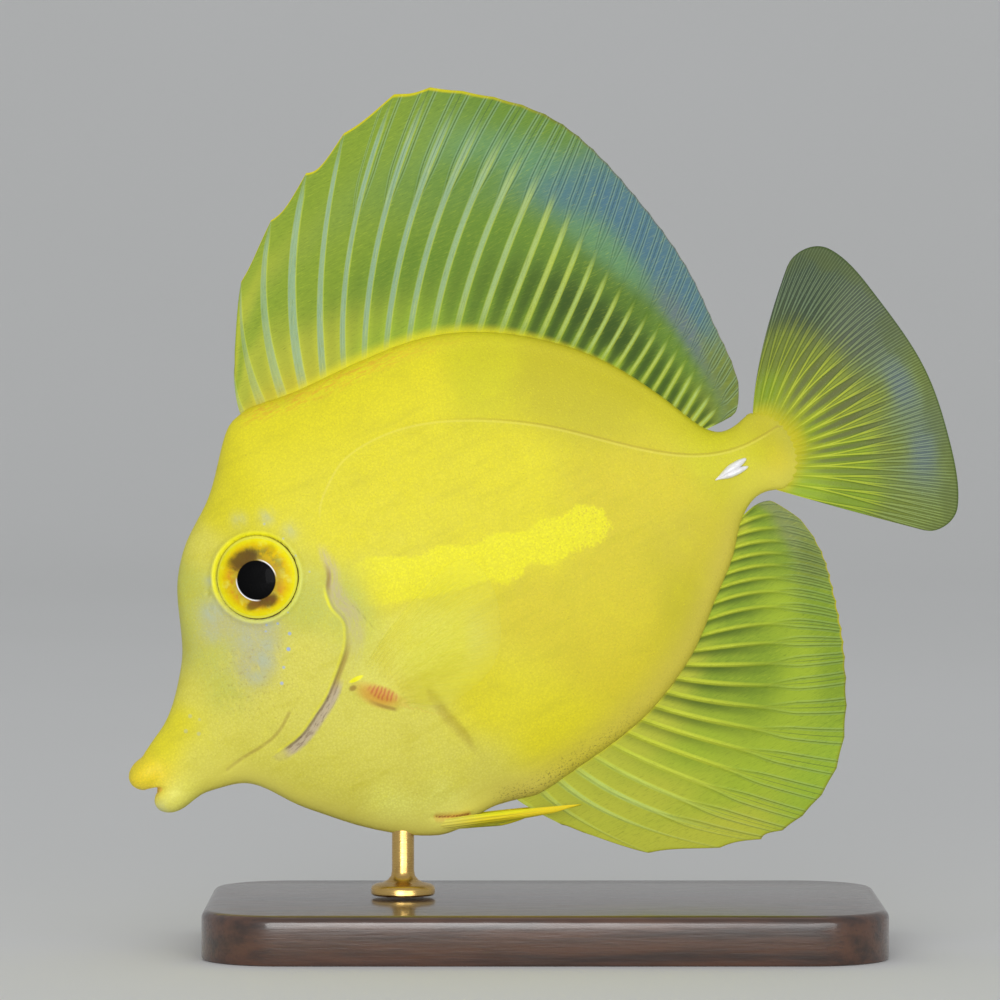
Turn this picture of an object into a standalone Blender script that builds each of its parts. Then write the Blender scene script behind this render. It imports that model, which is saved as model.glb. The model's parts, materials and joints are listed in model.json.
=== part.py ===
"""A yellow tang, life size, gliding head down over a low display stand.

Lengths are millimetres in the fish's own level frame: along runs from the snout (0) to the tail,
side is out of the flank (negative is the fish's left) and up is towards the back. The fish is then
tilted about the side axis and set on its rod. The stand is placed in the same millimetres.
"""

import math

import bmesh
import bpy
import numpy as np
from mathutils import Matrix, Vector

MM = 0.001
GAP = 0.3  # clearance kept between pieces that touch
LEFT, RIGHT = -1, 1

# Pose and stand
HEAD_DOWN_DEG = 26.5
FIN_CLEARANCE = 5.0  # from the lowest fin tip down to the top of the base
BASE_LENGTH, BASE_DEPTH, BASE_HEIGHT = 76.0, 46.0, 5.5
BASE_CORNER, BASE_EDGE = 9.0, 0.9
ROD_RADIUS, ROD_SINK = 1.25, 3.4
ROD_ALONG = 24.5  # the place under the chest where the rod enters
FLANGE_RADIUS, FLANGE_HEIGHT = 3.6, 1.3

# Outline of the trunk: (along, up) of the back and of the belly, chin to tail stalk. Its ends are
# round, and reach past SNOUT_END and STALK_END by SNOUT_CAP and STALK_CAP
SNOUT_END, STALK_END = 2.9, 80.2
SNOUT_CAP, STALK_CAP = 1.25, 4.0
BACK = (
    (2.4, 1.4), (4.0, 2.35), (6.0, 3.45), (8.0, 5.2), (10.3, 8.0), (11.6, 10.1), (12.6, 12.6),
    (13.9, 16.0), (15.2, 18.2), (17.0, 20.3), (19.4, 22.2), (22.0, 24.2), (24.0, 26.4),
    (26.0, 28.8), (27.6, 30.3), (29.4, 30.8), (34.0, 30.3), (40.0, 30.0), (46.0, 29.8), (51.0, 29.2),
    (56.0, 27.6), (60.0, 25.4), (64.0, 22.4), (67.5, 18.9), (70.0, 15.5), (72.5, 11.1),
    (74.2, 7.9), (75.6, 5.8), (77.6, 4.8), (80.2, 5.4),
)
BELLY = (
    (2.4, -5.9), (4.0, -6.0), (6.2, -5.6), (8.0, -5.8), (10.0, -6.2), (11.6, -6.9), (13.2, -8.5),
    (15.0, -11.0), (17.0, -13.2), (20.0, -16.2), (23.0, -18.7), (26.0, -20.6), (29.0, -21.5),
    (32.0, -21.6), (35.0, -21.5), (39.0, -22.2), (44.0, -21.8), (50.0, -20.9), (55.0, -19.7),
    (60.0, -17.5), (64.0, -14.9), (68.0, -11.3), (71.5, -8.2), (74.0, -5.5), (76.0, -3.9),
    (78.0, -3.4), (80.2, -4.1),
)
HALF_WIDTH = (
    (2.4, 1.9), (4.0, 2.25), (7.0, 2.8), (10.0, 3.4), (14.0, 4.3), (18.0, 5.15), (22.0, 5.9),
    (26.0, 6.5), (30.0, 6.8), (36.0, 6.8), (44.0, 6.3), (52.0, 5.4), (60.0, 4.3), (68.0, 3.0),
    (74.0, 2.2), (78.0, 1.8), (82.0, 1.35), (84.2, 1.1),
)
# How pinched the section is towards back and belly: 1 is an ellipse, more is a lens
PINCH = ((2.4, 0.9), (10.0, 0.95), (20.0, 1.05), (36.0, 1.15), (60.0, 1.15), (75.0, 1.0), (84.2, 0.9))
STATIONS, RING_POINTS = 40, 26
CAP_SHARE = 0.99  # how far out the last ring lies on a round end

# Lines that part the trunk into head, torso and tail stalk, top to bottom
GILL_CUT = (
    (28.6, 40.0), (28.8, 30.4), (30.0, 25.0), (31.0, 19.0), (30.9, 14.0), (29.7, 10.4), (28.8, 8.6),
    (28.6, 6.6), (28.9, 4.6), (27.6, 2.2), (25.6, 0.2), (23.2, -1.5), (20.6, -3.1), (18.9, -4.6),
    (17.6, -7.0), (16.0, -10.5), (14.6, -14.0),
)
STALK_CUT = ((73.6, 14.0), (73.0, 5.0), (72.8, 0.6), (73.0, -3.5), (73.6, -12.0))
FAR = 60.0  # past the body on any side

# Gill cover: a closed outline in side view, from its top round the rear edge and back in front
GILL_COVER = (
    (28.7, 11.6), (29.9, 10.6), (29.3, 9.0), (29.2, 6.8), (29.6, 5.4), (29.4, 3.8), (28.2, 1.9),
    (26.4, 0.0), (24.2, -1.7), (21.6, -3.3), (19.2, -4.5), (17.0, -5.1), (16.9, -3.9),
    (19.4, -2.4), (22.2, -0.9), (24.4, 1.3), (25.8, 4.2), (26.6, 7.6), (27.4, 10.4),
)
GILL_PROUD, GILL_DEEP = 0.4, 0.9

# Eye
EYE_ALONG, EYE_UP, EYE_RADIUS = 22.8, 13.6, 4.45
EYE_BULGE, EYE_DEPTH, EYE_SUNK = 1.35, 3.3, 0.35
RIM_THICKNESS = 0.36

# Mouth: each lip as its centre and its half sizes, both as (along, side, up)
UPPER_LIP = (2.3, 0.0, -0.75), (2.75, 2.3, 1.95)
LOWER_LIP = (3.35, 0.0, -4.4), (2.4, 2.15, 1.7)
MOUTH_GAP_UP, MOUTH_GAP_HEIGHT, MOUTH_GAP_DEPTH = -2.5, 0.9, 4.2
NOSTRILS = ((16.5, 14.7, 0.4), (16.0, 13.2, 0.32))

# Fin rays: guide rays as (ray number, root along, middle, tip), rays between them are interpolated
DORSAL_SPINES, DORSAL_RAYS = 5, 24
DORSAL_GUIDES = (
    (0, 29.3, (30.0, 33.4), (31.6, 36.6)),
    (1, 31.9, (33.0, 37.4), (36.0, 44.1)),
    (2, 34.4, (36.9, 40.3), (42.1, 48.8)),
    (3, 36.9, (41.0, 41.5), (48.0, 51.8)),
    (4, 39.4, (45.1, 42.0), (53.8, 53.9)),
    (6, 44.4, (52.4, 42.4), (63.0, 54.8)),
    (9, 52.4, (61.1, 39.5), (71.2, 49.9)),
    (12, 59.4, (68.0, 34.2), (76.6, 43.0)),
    (16, 65.8, (73.0, 26.3), (80.0, 33.0)),
    (20, 70.2, (76.2, 18.9), (81.6, 23.4)),
    (24, 73.2, (77.6, 12.7), (81.5, 15.4)),
    (27, 75.0, (78.1, 7.7), (81.1, 9.3)),
    (28, 75.5, (77.7, 6.25), (79.9, 6.7)),
)
ANAL_SPINES, ANAL_RAYS = 3, 20
ANAL_GUIDES = (
    (0, 38.9, (40.2, -25.4), (42.2, -27.7)),
    (1, 40.6, (43.2, -27.4), (48.3, -34.0)),
    (2, 42.9, (47.4, -29.3), (55.8, -37.1)),
    (4, 47.6, (54.0, -29.8), (63.0, -38.5)),
    (7, 54.2, (62.3, -27.6), (71.6, -34.9)),
    (10, 59.8, (68.2, -23.0), (77.0, -26.3)),
    (14, 65.8, (72.8, -16.8), (79.7, -17.2)),
    (18, 71.2, (75.9, -10.4), (80.3, -9.6)),
    (21, 74.1, (77.1, -5.9), (79.8, -5.9)),
    (22, 74.9, (76.9, -4.6), (78.7, -4.5)),
)
CAUDAL_RAYS = 16
CAUDAL_GUIDES = (  # root given as an angle round the stalk's end, in degrees above its axis
    (0, 84.0, (85.9, 11.9), (94.0, 19.5)),
    (1, 72.0, (87.4, 11.5), (96.0, 18.9)),
    (4, 40.0, (90.4, 8.1), (99.1, 11.1)),
    (7.5, 4.0, (92.2, 1.5), (100.4, 1.9)),
    (11, -34.0, (90.7, -4.3), (99.3, -7.0)),
    (14, -68.0, (88.0, -8.7), (96.6, -15.1)),
    (15, -80.0, (86.6, -9.95), (94.4, -16.05)),
)
PECTORAL_RAYS = 13
PECTORAL_ROOT = ((27.5, -1.9), (30.2, -6.6))
PECTORAL_GUIDES = (
    (0, (35.6, 2.8), (44.6, 6.3)),
    (3, (36.6, 1.3), (46.2, 2.9)),
    (6.5, (36.8, -2.6), (45.2, -3.0)),
    (9.5, (35.6, -5.2), (41.8, -7.0)),
    (12, (33.6, -7.3), (37.0, -9.2)),
)
PECTORAL_SPREAD = 8.0  # how far the tips stand out from the flank
PELVIC_RAYS = 6
PELVIC_GUIDES = (  # ray number, then (along, side, up) of root, middle and tip
    (0, (27.6, 1.9, -19.9), (36.0, 3.4, -22.9), (44.0, 4.6, -25.3)),
    (2, (28.4, 1.5, -20.6), (35.4, 2.6, -22.9), (41.8, 3.5, -24.8)),
    (5, (29.8, 0.75, -21.6), (34.2, 1.15, -22.8), (38.2, 1.6, -23.9)),
)
PELVIC_DROP = {LEFT: 0.0, RIGHT: 1.4}  # how much lower the inner tip of either fin hangs
WEB = 0.27  # half thickness of a web
RIDGE_FOOT = 0.27  # where the foot of a ridge lies on the way to the next one

# Tail spine, folded forward in its groove
SPINE_TIP, SPINE_HINGE = (73.7, 0.4), (78.1, 0.65)
SPINE_HEIGHT, SPINE_PROUD = 0.7, 0.75

COLOURS = {  # base colour, metallic, roughness
    "skin": ((0.86, 0.76, 0.06, 1.0), 0.0, 0.45),
    "fin": ((0.52, 0.62, 0.14, 1.0), 0.0, 0.4),
    "pale fin": ((0.86, 0.82, 0.16, 1.0), 0.0, 0.4),
    "eye": ((0.55, 0.4, 0.02, 1.0), 0.0, 0.1),
    "spine": ((0.95, 0.94, 0.98, 1.0), 0.0, 0.3),
    "base": ((0.05, 0.035, 0.028, 1.0), 0.0, 0.35),
    "rod": ((0.78, 0.62, 0.34, 1.0), 1.0, 0.3),
}


def smooth_curve(points):
    """A natural cubic spline through (position, value, ...) points, as a function of position."""
    at = np.array([p[0] for p in points], float)
    values = np.array([p[1:] for p in points], float)
    count = len(at)
    gaps = np.diff(at)
    system = np.zeros((count, count))
    wanted = np.zeros_like(values)
    system[0, 0] = system[-1, -1] = 1.0
    for i in range(1, count - 1):
        system[i, i - 1 : i + 2] = gaps[i - 1], 2 * (gaps[i - 1] + gaps[i]), gaps[i]
        rise = (values[i + 1] - values[i]) / gaps[i]
        wanted[i] = 6 * (rise - (values[i] - values[i - 1]) / gaps[i - 1])
    bends = np.linalg.solve(system, wanted)

    def value(position):
        i = min(max(int(np.searchsorted(at, position)) - 1, 0), count - 2)
        a = (at[i + 1] - position) / gaps[i]
        b = 1.0 - a
        curve = ((a**3 - a) * bends[i] + (b**3 - b) * bends[i + 1]) * gaps[i] ** 2 / 6
        return a * values[i] + b * values[i + 1] + curve

    return value


back_line = smooth_curve(BACK)
belly_line = smooth_curve(BELLY)
width_line = smooth_curve(HALF_WIDTH)
pinch_line = smooth_curve(PINCH)


def section(along, grow=0.0):
    """Middle height, half height, half width and pinch of the trunk's section, grown all round."""
    at = min(max(along, SNOUT_END), STALK_END)
    top, bottom = float(back_line(at)[0]), float(belly_line(at)[0])
    cap = (SNOUT_CAP if along < SNOUT_END else STALK_CAP) + grow
    closing = max(1.0 - ((along - at) / cap) ** 2, 0.0)
    half_height = ((top - bottom) / 2 + grow) * math.sqrt(closing)
    half_width = (float(width_line(along)[0]) + grow) * closing**0.3
    return (top + bottom) / 2, half_height, half_width, float(pinch_line(along)[0])


def flank(along, up, grow=0.0):
    """How far the skin lies from the middle plane at a place in side view."""
    middle, half_height, half_width, pinch = section(along, grow)
    height = min(abs(up - middle) / half_height, 1.0)
    return half_width * math.sqrt(1.0 - height**2) ** pinch


def flank_normal(along, up, side):
    """The direction that the skin faces at a place on one flank."""
    step = 0.4
    slope_along = (flank(along + step, up) - flank(along - step, up)) / (2 * step)
    slope_up = (flank(along, up + step) - flank(along, up - step)) / (2 * step)
    return Vector((-slope_along, side, -slope_up)).normalized()


def add_mesh(name, vertices, faces):
    """A mesh object from millimetres."""
    mesh = bpy.data.meshes.new(name)
    mesh.from_pydata([Vector(v) * MM for v in vertices], [], faces)
    mesh.update()
    made = bpy.data.objects.new(name, mesh)
    bpy.context.scene.collection.objects.link(made)
    return made


def face_outwards(made):
    """Makes the faces of a closed mesh point out, and splits those that may be bent."""
    shape = bmesh.new()
    shape.from_mesh(made.data)
    bmesh.ops.triangulate(shape, faces=[face for face in shape.faces if len(face.verts) == 4])
    bmesh.ops.recalc_face_normals(shape, faces=shape.faces)
    shape.to_mesh(made.data)
    shape.free()
    return made


def loft(name, rings):
    """Skins a row of rings with the same number of points, with a flat cap at each end."""
    size = len(rings[0])
    vertices = [point for ring in rings for point in ring]
    faces = []
    for row in range(len(rings) - 1):
        for i in range(size):
            j = (i + 1) % size
            a, b = row * size, (row + 1) * size
            faces.append((a + i, a + j, b + j, b + i))
    faces.append(tuple(range(size)))
    faces.append(tuple(range(len(vertices) - size, len(vertices))))
    return face_outwards(add_mesh(name, vertices, faces))


def prism(name, outline, low, high):
    """An outline in side view, extruded from one side distance to another."""
    rings = [[(along, side, up) for along, up in outline] for side in (low, high)]
    return loft(name, rings)


def turned_tube(name, path, radii, sides=10):
    """A tube of changing radius along a path, with each ring square to the path."""
    rings = []
    for i, centre in enumerate(path):
        ahead = path[min(i + 1, len(path) - 1)] - path[max(i - 1, 0)]
        turn = ahead.to_track_quat("Z", "Y")
        angles = [2 * math.pi * k / sides for k in range(sides)]
        spokes = [Vector((math.cos(a), math.sin(a), 0.0)) * radii[i] for a in angles]
        rings.append([centre + turn @ spoke for spoke in spokes])
    return loft(name, rings)


def remove(made):
    bpy.data.meshes.remove(made.data)


def apply_modifiers(made):
    """Replaces the object's mesh by its evaluated one."""
    bpy.context.view_layer.update()
    graph = bpy.context.evaluated_depsgraph_get()
    finished = bpy.data.meshes.new_from_object(made.evaluated_get(graph))
    made.modifiers.clear()
    old, made.data = made.data, finished
    bpy.data.meshes.remove(old)


def combine(made, pieces, operation):
    """One Boolean of an object with a collection of closed pieces, which are then removed."""
    group = bpy.data.collections.new("pieces")
    bpy.context.scene.collection.children.link(group)
    for piece in pieces:
        group.objects.link(piece)
    boolean = made.modifiers.new("combine", "BOOLEAN")
    boolean.operation = operation
    boolean.solver = "EXACT"
    boolean.operand_type = "COLLECTION"
    boolean.collection = group
    apply_modifiers(made)
    for piece in pieces:
        remove(piece)
    bpy.data.collections.remove(group)
    return made


def keep_within(made, zone):
    """Keeps what lies inside a closed zone, which is then removed."""
    boolean = made.modifiers.new("within", "BOOLEAN")
    boolean.operation = "INTERSECT"
    boolean.solver = "EXACT"
    boolean.object = zone
    apply_modifiers(made)
    remove(zone)
    return made


def keep_largest(made):
    """Drops all but the largest closed surface of a mesh."""
    shape = bmesh.new()
    shape.from_mesh(made.data)
    bmesh.ops.remove_doubles(shape, verts=shape.verts, dist=0.002 * MM)
    bmesh.ops.dissolve_degenerate(shape, edges=shape.edges, dist=0.002 * MM)
    unseen = set(shape.faces)
    shells = []
    while unseen:
        shell, front = set(), [unseen.pop()]
        while front:
            face = front.pop()
            shell.add(face)
            near = {f for edge in face.edges for f in edge.link_faces} & unseen
            unseen -= near
            front.extend(near)
        shells.append(shell)
    largest = max(shells, key=lambda shell: sum(face.calc_area() for face in shell))
    rest = [face for shell in shells if shell is not largest for face in shell]
    bmesh.ops.delete(shape, geom=rest, context="FACES")
    shape.to_mesh(made.data)
    shape.free()
    return made


def trunk(name, grow=0.0):
    """The whole trunk from snout to tail stalk, grown by a distance all round."""
    start = SNOUT_END - (SNOUT_CAP + grow) * CAP_SHARE
    end = STALK_END + (STALK_CAP + grow) * CAP_SHARE
    rings = []
    for i in range(STATIONS):
        t = i / (STATIONS - 1)
        eased = 0.62 * t + 0.38 * (1 - math.cos(math.pi * t)) / 2
        along = start + (end - start) * eased
        middle, half_height, half_width, pinch = section(along, grow)
        ring = []
        for k in range(RING_POINTS):
            angle = 2 * math.pi * k / RING_POINTS
            out = math.copysign(abs(math.sin(angle)) ** pinch, math.sin(angle))
            ring.append((along, half_width * out, middle + half_height * math.cos(angle)))
        rings.append(ring)
    return loft(name, rings)


def offset_outline(outline, distance):
    """Moves each point of a closed outline outwards, square to its neighbours' line."""
    points = [Vector(p) for p in outline]
    turning = sum(a.x * b.y - b.x * a.y for a, b in zip(points, points[1:] + points[:1]))
    moved = []
    for i, point in enumerate(points):
        line = (points[(i + 1) % len(points)] - points[i - 1]).normalized()
        out = Vector((line.y, -line.x)) * math.copysign(1.0, turning)
        moved.append(tuple(point + out * distance))
    return moved


def zone_between(front_line, rear_line):
    """A slab across the whole body between two cuts, each given from top to bottom."""
    sides = []
    for line in (front_line, rear_line):
        sides.append([(line[0][0], FAR), *line, (line[-1][0], -FAR)])
    return prism("zone", offset_outline(sides[0] + sides[1][::-1], -GAP / 2), -FAR, FAR)


def ball(name, centre, radii, segments=14, rows=7):
    """A closed ball of three radii, its poles to either side."""
    rings = []
    for i in range(rows):
        turn = math.pi * (i + 0.5) / rows
        side = centre[1] + radii[1] * math.cos(turn)
        ring = []
        for k in range(segments):
            angle = 2 * math.pi * k / segments
            along = centre[0] + radii[0] * math.sin(turn) * math.cos(angle)
            ring.append((along, side, centre[2] + radii[2] * math.sin(turn) * math.sin(angle)))
        rings.append(ring)
    return loft(name, rings)


def mouth_gap():
    """The dark gap between the lips, a flat wedge that narrows inwards."""
    rings = []
    for along, share in ((-2.0, 1.4), (1.0, 1.0), (MOUTH_GAP_DEPTH, 0.25)):
        half = MOUTH_GAP_HEIGHT * share / 2
        wide = 1.9 * (0.6 + 0.4 * share)
        up = MOUTH_GAP_UP - 0.12 * along
        rings.append([(along, -wide, up), (along, 0, up + half), (along, wide, up), (along, 0, up - half)])
    return loft("mouth_gap", rings)


def eye_frame(side):
    """Where the eye sits and how it is turned: local Z looks out of the head."""
    out = flank_normal(EYE_ALONG, EYE_UP, side)
    surface = Vector((EYE_ALONG, side * flank(EYE_ALONG, EYE_UP), EYE_UP))
    turn = out.to_track_quat("Z", "Y").to_matrix().to_4x4()
    return Matrix.Translation(surface - out * EYE_SUNK) @ turn


def eyeball(name, side, grow=0.0):
    """An eye, flatter in front than behind."""
    segments, rows = 20, 9
    rings = []
    for i in range(1, rows):
        tip = math.pi * i / rows
        depth = (EYE_BULGE if i < rows / 2 else EYE_DEPTH) + grow
        radius = (EYE_RADIUS + grow) * math.sin(tip)
        spokes = [2 * math.pi * k / segments for k in range(segments)]
        height = depth * math.cos(tip)
        rings.append([Vector((radius * math.cos(a), radius * math.sin(a), height)) for a in spokes])
    place = eye_frame(side)
    return loft(name, [[place @ point for point in ring] for ring in rings])


def eye_rim(side):
    """The raised ring of skin round the eye."""
    steps, sides = 20, 5
    radius = EYE_RADIUS + GAP + RIM_THICKNESS * 0.7
    place = eye_frame(side) @ Matrix.Translation((0, 0, EYE_SUNK))
    vertices, faces = [], []
    for i in range(steps):
        round_eye = 2 * math.pi * i / steps
        for k in range(sides):
            round_rim = 2 * math.pi * k / sides
            out = radius + RIM_THICKNESS * math.cos(round_rim)
            lift = RIM_THICKNESS * math.sin(round_rim)
            vertices.append(place @ Vector((out * math.cos(round_eye), out * math.sin(round_eye), lift)))
            a, b = i * sides, (i + 1) % steps * sides
            j = (k + 1) % sides
            faces.append((a + k, b + k, b + j, a + j))
    return face_outwards(add_mesh("eye_rim", vertices, faces))


def nostril(side, along, up, radius):
    out = flank_normal(along, up, side)
    surface = Vector((along, side * flank(along, up), up))
    path = [surface + out * reach for reach in (-0.7, 1.0)]
    return turned_tube("nostril", path, [radius * 0.8, radius], 8)


def gill_plate(name, side):
    """One gill cover: a curved plate that stands a little proud of the skin."""
    plate = trunk(name, GILL_PROUD)
    low, high = sorted((side * 0.5, side * 12.0))
    keep_within(plate, prism("zone", GILL_COVER, low, high))
    return keep_largest(combine(plate, [trunk("core", -GILL_DEEP)], "DIFFERENCE"))


def gill_pocket(side):
    """The recess that a gill cover sits in."""
    low, high = sorted((side * 0.5, side * 12.0))
    pocket = prism("pocket", offset_outline(GILL_COVER, GAP), low, high)
    return combine(pocket, [trunk("core", -GILL_DEEP - GAP)], "DIFFERENCE")


def make_head():
    head = trunk("head")
    raised = [ball("upper_lip", *UPPER_LIP), ball("lower_lip", *LOWER_LIP)]
    raised += [eye_rim(side) for side in (LEFT, RIGHT)]
    combine(head, raised, "UNION")
    cutters = [eyeball("socket", side, GAP) for side in (LEFT, RIGHT)]
    cutters += [gill_pocket(side) for side in (LEFT, RIGHT)]
    cutters += [nostril(side, *place) for side in (LEFT, RIGHT) for place in NOSTRILS]
    cutters.append(mouth_gap())
    combine(head, cutters, "DIFFERENCE")
    return keep_largest(keep_within(head, zone_between([(-FAR, 0.0)], GILL_CUT)))


def make_torso():
    torso = combine(trunk("torso"), [gill_pocket(side) for side in (LEFT, RIGHT)], "DIFFERENCE")
    return keep_largest(keep_within(torso, zone_between(GILL_CUT, STALK_CUT)))


def make_stalk():
    return keep_largest(keep_within(trunk("tail_stalk"), zone_between(STALK_CUT, [(2 * FAR, 0.0)])))


def fin_sheet(name, rays, rows, place, half_thickness):
    """A fin as one closed sheet with a ridge along each ray.

    place(ray, reach) is the middle of the sheet and its thin direction, and
    half_thickness(ray, reach, on_ridge) the distance from there to either face.
    """
    columns = [0.0]
    for ray in range(rays - 1):
        columns += [ray + RIDGE_FOOT, ray + 1 - RIDGE_FOOT, ray + 1.0]
    vertices = []
    for face in (1, -1):
        for ray in columns:
            for row in range(rows + 1):
                reach = row / rows
                centre, thin = place(ray, reach)
                on_ridge = abs(ray - round(ray)) < 1e-6
                vertices.append(centre + thin * face * half_thickness(ray, reach, on_ridge))
    wide, tall = len(columns), rows + 1
    far = wide * tall
    faces = []
    for i in range(wide - 1):
        for j in range(rows):
            a, b, c, d = i * tall + j, (i + 1) * tall + j, (i + 1) * tall + j + 1, i * tall + j + 1
            faces += [(a, b, c), (a, c, d), (far + a, far + c, far + b), (far + a, far + d, far + c)]
    edge = [i * tall for i in range(wide)]
    edge += [(wide - 1) * tall + j for j in range(1, tall)]
    edge += [i * tall + rows for i in range(wide - 2, -1, -1)]
    edge += [j for j in range(rows - 1, 0, -1)]
    for a, b in zip(edge, edge[1:] + edge[:1]):
        faces += [(a, far + b, b), (a, far + a, far + b)]
    return face_outwards(add_mesh(name, vertices, faces))


def along_ray(root, middle, tip, reach):
    """A point on the parabola through a ray's root, middle and tip."""
    return (
        root * ((1 - reach) * (1 - 2 * reach))
        + middle * (4 * reach * (1 - reach))
        + tip * (reach * (2 * reach - 1))
    )


def ridge_thickness(root, tip, edge=0.2):
    """Half thickness that falls from root to tip on the ridges and is even on the webs."""

    def thickness(_ray, reach, on_ridge):
        web = WEB if reach < 0.999 else edge
        return max(root + (tip - root) * reach, web) if on_ridge else web

    return thickness


def scallop(ray, reach, length, spines):
    """Shortens the web between two rays, more between spines, so that the margin is scalloped."""
    dip = 1.3 if ray < spines - 0.5 else 0.28
    return reach * (1 - dip * math.sin(math.pi * (ray % 1.0)) / length)


def edge_root(line, along, outwards):
    """A point just off the back (1) or belly (-1) line, square to it."""
    step = 0.3
    slope = float(line(along + step)[0] - line(along - step)[0]) / (2 * step)
    normal = Vector((-slope, 1.0)).normalized() * outwards
    return Vector((along, float(line(along)[0]))) + normal * GAP


def median_fin(name, guides, rays, spines, line, outwards, wave, rows):
    """The dorsal or anal fin, rooted along the back or belly."""
    numbers = [guide[0] for guide in guides]
    roots = smooth_curve([(guide[0], guide[1]) for guide in guides])
    middles = smooth_curve([(n, *guide[2]) for n, guide in zip(numbers, guides)])
    tips = smooth_curve([(n, *guide[3]) for n, guide in zip(numbers, guides)])

    def place(ray, reach):
        root = edge_root(line, float(roots(ray)[0]), outwards)
        middle, tip = Vector(middles(ray)), Vector(tips(ray))
        reach = scallop(ray, reach, (tip - root).length, spines)
        spot = along_ray(root, middle, tip, reach)
        bow = wave * reach * math.sin(math.pi * (0.3 + 1.5 * ray / rays))
        return Vector((spot.x, bow, spot.y)), Vector((0, 1, 0))

    return fin_sheet(name, rays, rows, place, ridge_thickness(0.78, 0.36))


def caudal_fin():
    numbers = [guide[0] for guide in CAUDAL_GUIDES]
    angles = smooth_curve([(guide[0], guide[1]) for guide in CAUDAL_GUIDES])
    middles = smooth_curve([(n, *guide[2]) for n, guide in zip(numbers, CAUDAL_GUIDES)])
    tips = smooth_curve([(n, *guide[3]) for n, guide in zip(numbers, CAUDAL_GUIDES)])
    centre, half_height, _, _ = section(STALK_END)

    def place(ray, reach):
        angle = math.radians(float(angles(ray)[0]))
        root = Vector((
            STALK_END + (STALK_CAP + GAP) * math.cos(angle),
            centre + (half_height + GAP) * math.sin(angle),
        ))
        middle, tip = Vector(middles(ray)), Vector(tips(ray))
        reach = scallop(ray, reach, (tip - root).length, 0)
        spot = along_ray(root, middle, tip, reach)
        return Vector((spot.x, -1.4 * reach**2, spot.y)), Vector((0, 1, 0))

    return fin_sheet("caudal_fin", CAUDAL_RAYS, 6, place, ridge_thickness(0.78, 0.32))


def pectoral_fin(name, side):
    """The fin on the flank, rooted in the skin and standing out behind the gill cover."""
    last = PECTORAL_RAYS - 1
    middles = smooth_curve([(guide[0], *guide[1]) for guide in PECTORAL_GUIDES])
    tips = smooth_curve([(guide[0], *guide[2]) for guide in PECTORAL_GUIDES])
    upper, lower = Vector(PECTORAL_ROOT[0]), Vector(PECTORAL_ROOT[1])
    thin = Vector((-PECTORAL_SPREAD, side * 19.0, 0)).normalized()

    def place(ray, reach):
        root = upper.lerp(lower, ray / last)
        middle, tip = Vector(middles(ray)), Vector(tips(ray))
        reach = scallop(ray, reach, (tip - root).length, 0)
        spot = along_ray(root, middle, tip, reach)
        rise = PECTORAL_SPREAD * (1.15 * reach - 0.15 * reach**2)
        side_distance = flank(root.x, root.y) - 0.9 + rise
        return Vector((spot.x, side * side_distance, spot.y)), thin

    fin = fin_sheet(name, PECTORAL_RAYS, 5, place, ridge_thickness(0.8, 0.3))
    return keep_largest(combine(fin, [trunk("clear", GAP)], "DIFFERENCE"))


def pelvic_fin(name, side):
    """The fin under the chest, folded back along the belly."""
    roots, middles, tips = (
        smooth_curve([(guide[0], *guide[place]) for guide in PELVIC_GUIDES]) for place in (1, 2, 3)
    )

    def place(ray, reach):
        root, middle, tip = Vector(roots(ray)), Vector(middles(ray)), Vector(tips(ray))
        reach = scallop(ray, reach, (tip - root).length, 0)
        spot = along_ray(root, middle, tip, reach)
        drop = PELVIC_DROP[side] * reach * ray / (PELVIC_RAYS - 1)
        return Vector((spot.x, side * spot.y, spot.z - drop)), Vector((0.25, 0, 1)).normalized()

    fin = fin_sheet(name, PELVIC_RAYS, 5, place, ridge_thickness(0.7, 0.32))
    return keep_largest(combine(fin, [trunk("clear", GAP)], "DIFFERENCE"))


def tail_spine(name, side):
    """The blade on the tail stalk, its point forward and its hinge behind."""
    steps, sides = 7, 6
    tip, hinge = Vector(SPINE_TIP), Vector(SPINE_HINGE)
    rings = []
    for i in range(steps):
        share = i / (steps - 1)
        spot = tip.lerp(hinge, share)
        swell = 0.12 + 0.88 * math.sin(math.pi * min(share * 0.62 + 0.02, 1.0))
        skin = flank(spot.x, spot.y)
        ring = []
        for k in range(sides):
            angle = 2 * math.pi * k / sides
            up = spot.y + SPINE_HEIGHT * swell * math.cos(angle)
            out = skin + 0.2 + SPINE_PROUD * swell * math.sin(angle)
            ring.append((spot.x, side * out, up))
        rings.append(ring)
    blade = loft(name, rings)
    return keep_largest(combine(blade, [trunk("clear", GAP)], "DIFFERENCE"))


def rounded_outline(length, depth, corner, steps=6):
    """A rectangle with round corners, centred on the origin."""
    outline = []
    corners = ((1, 1, 0), (-1, 1, 90), (-1, -1, 180), (1, -1, 270))
    for right, far, start in corners:
        centre = ((length / 2 - corner) * right, (depth / 2 - corner) * far)
        for i in range(steps + 1):
            angle = math.radians(start + 90 * i / steps)
            outline.append((centre[0] + corner * math.cos(angle), centre[1] + corner * math.sin(angle)))
    return outline


def stand_base():
    """A flat slab with round corners and a chamfered top edge."""
    full = rounded_outline(BASE_LENGTH, BASE_DEPTH, BASE_CORNER)
    shrunk = rounded_outline(BASE_LENGTH - 2 * BASE_EDGE, BASE_DEPTH - 2 * BASE_EDGE, BASE_CORNER - BASE_EDGE)
    levels = ((full, 0.0), (full, BASE_HEIGHT - BASE_EDGE), (shrunk, BASE_HEIGHT))
    return loft("stand_base", [[(x, y, height) for x, y in ring] for ring, height in levels])


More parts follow.
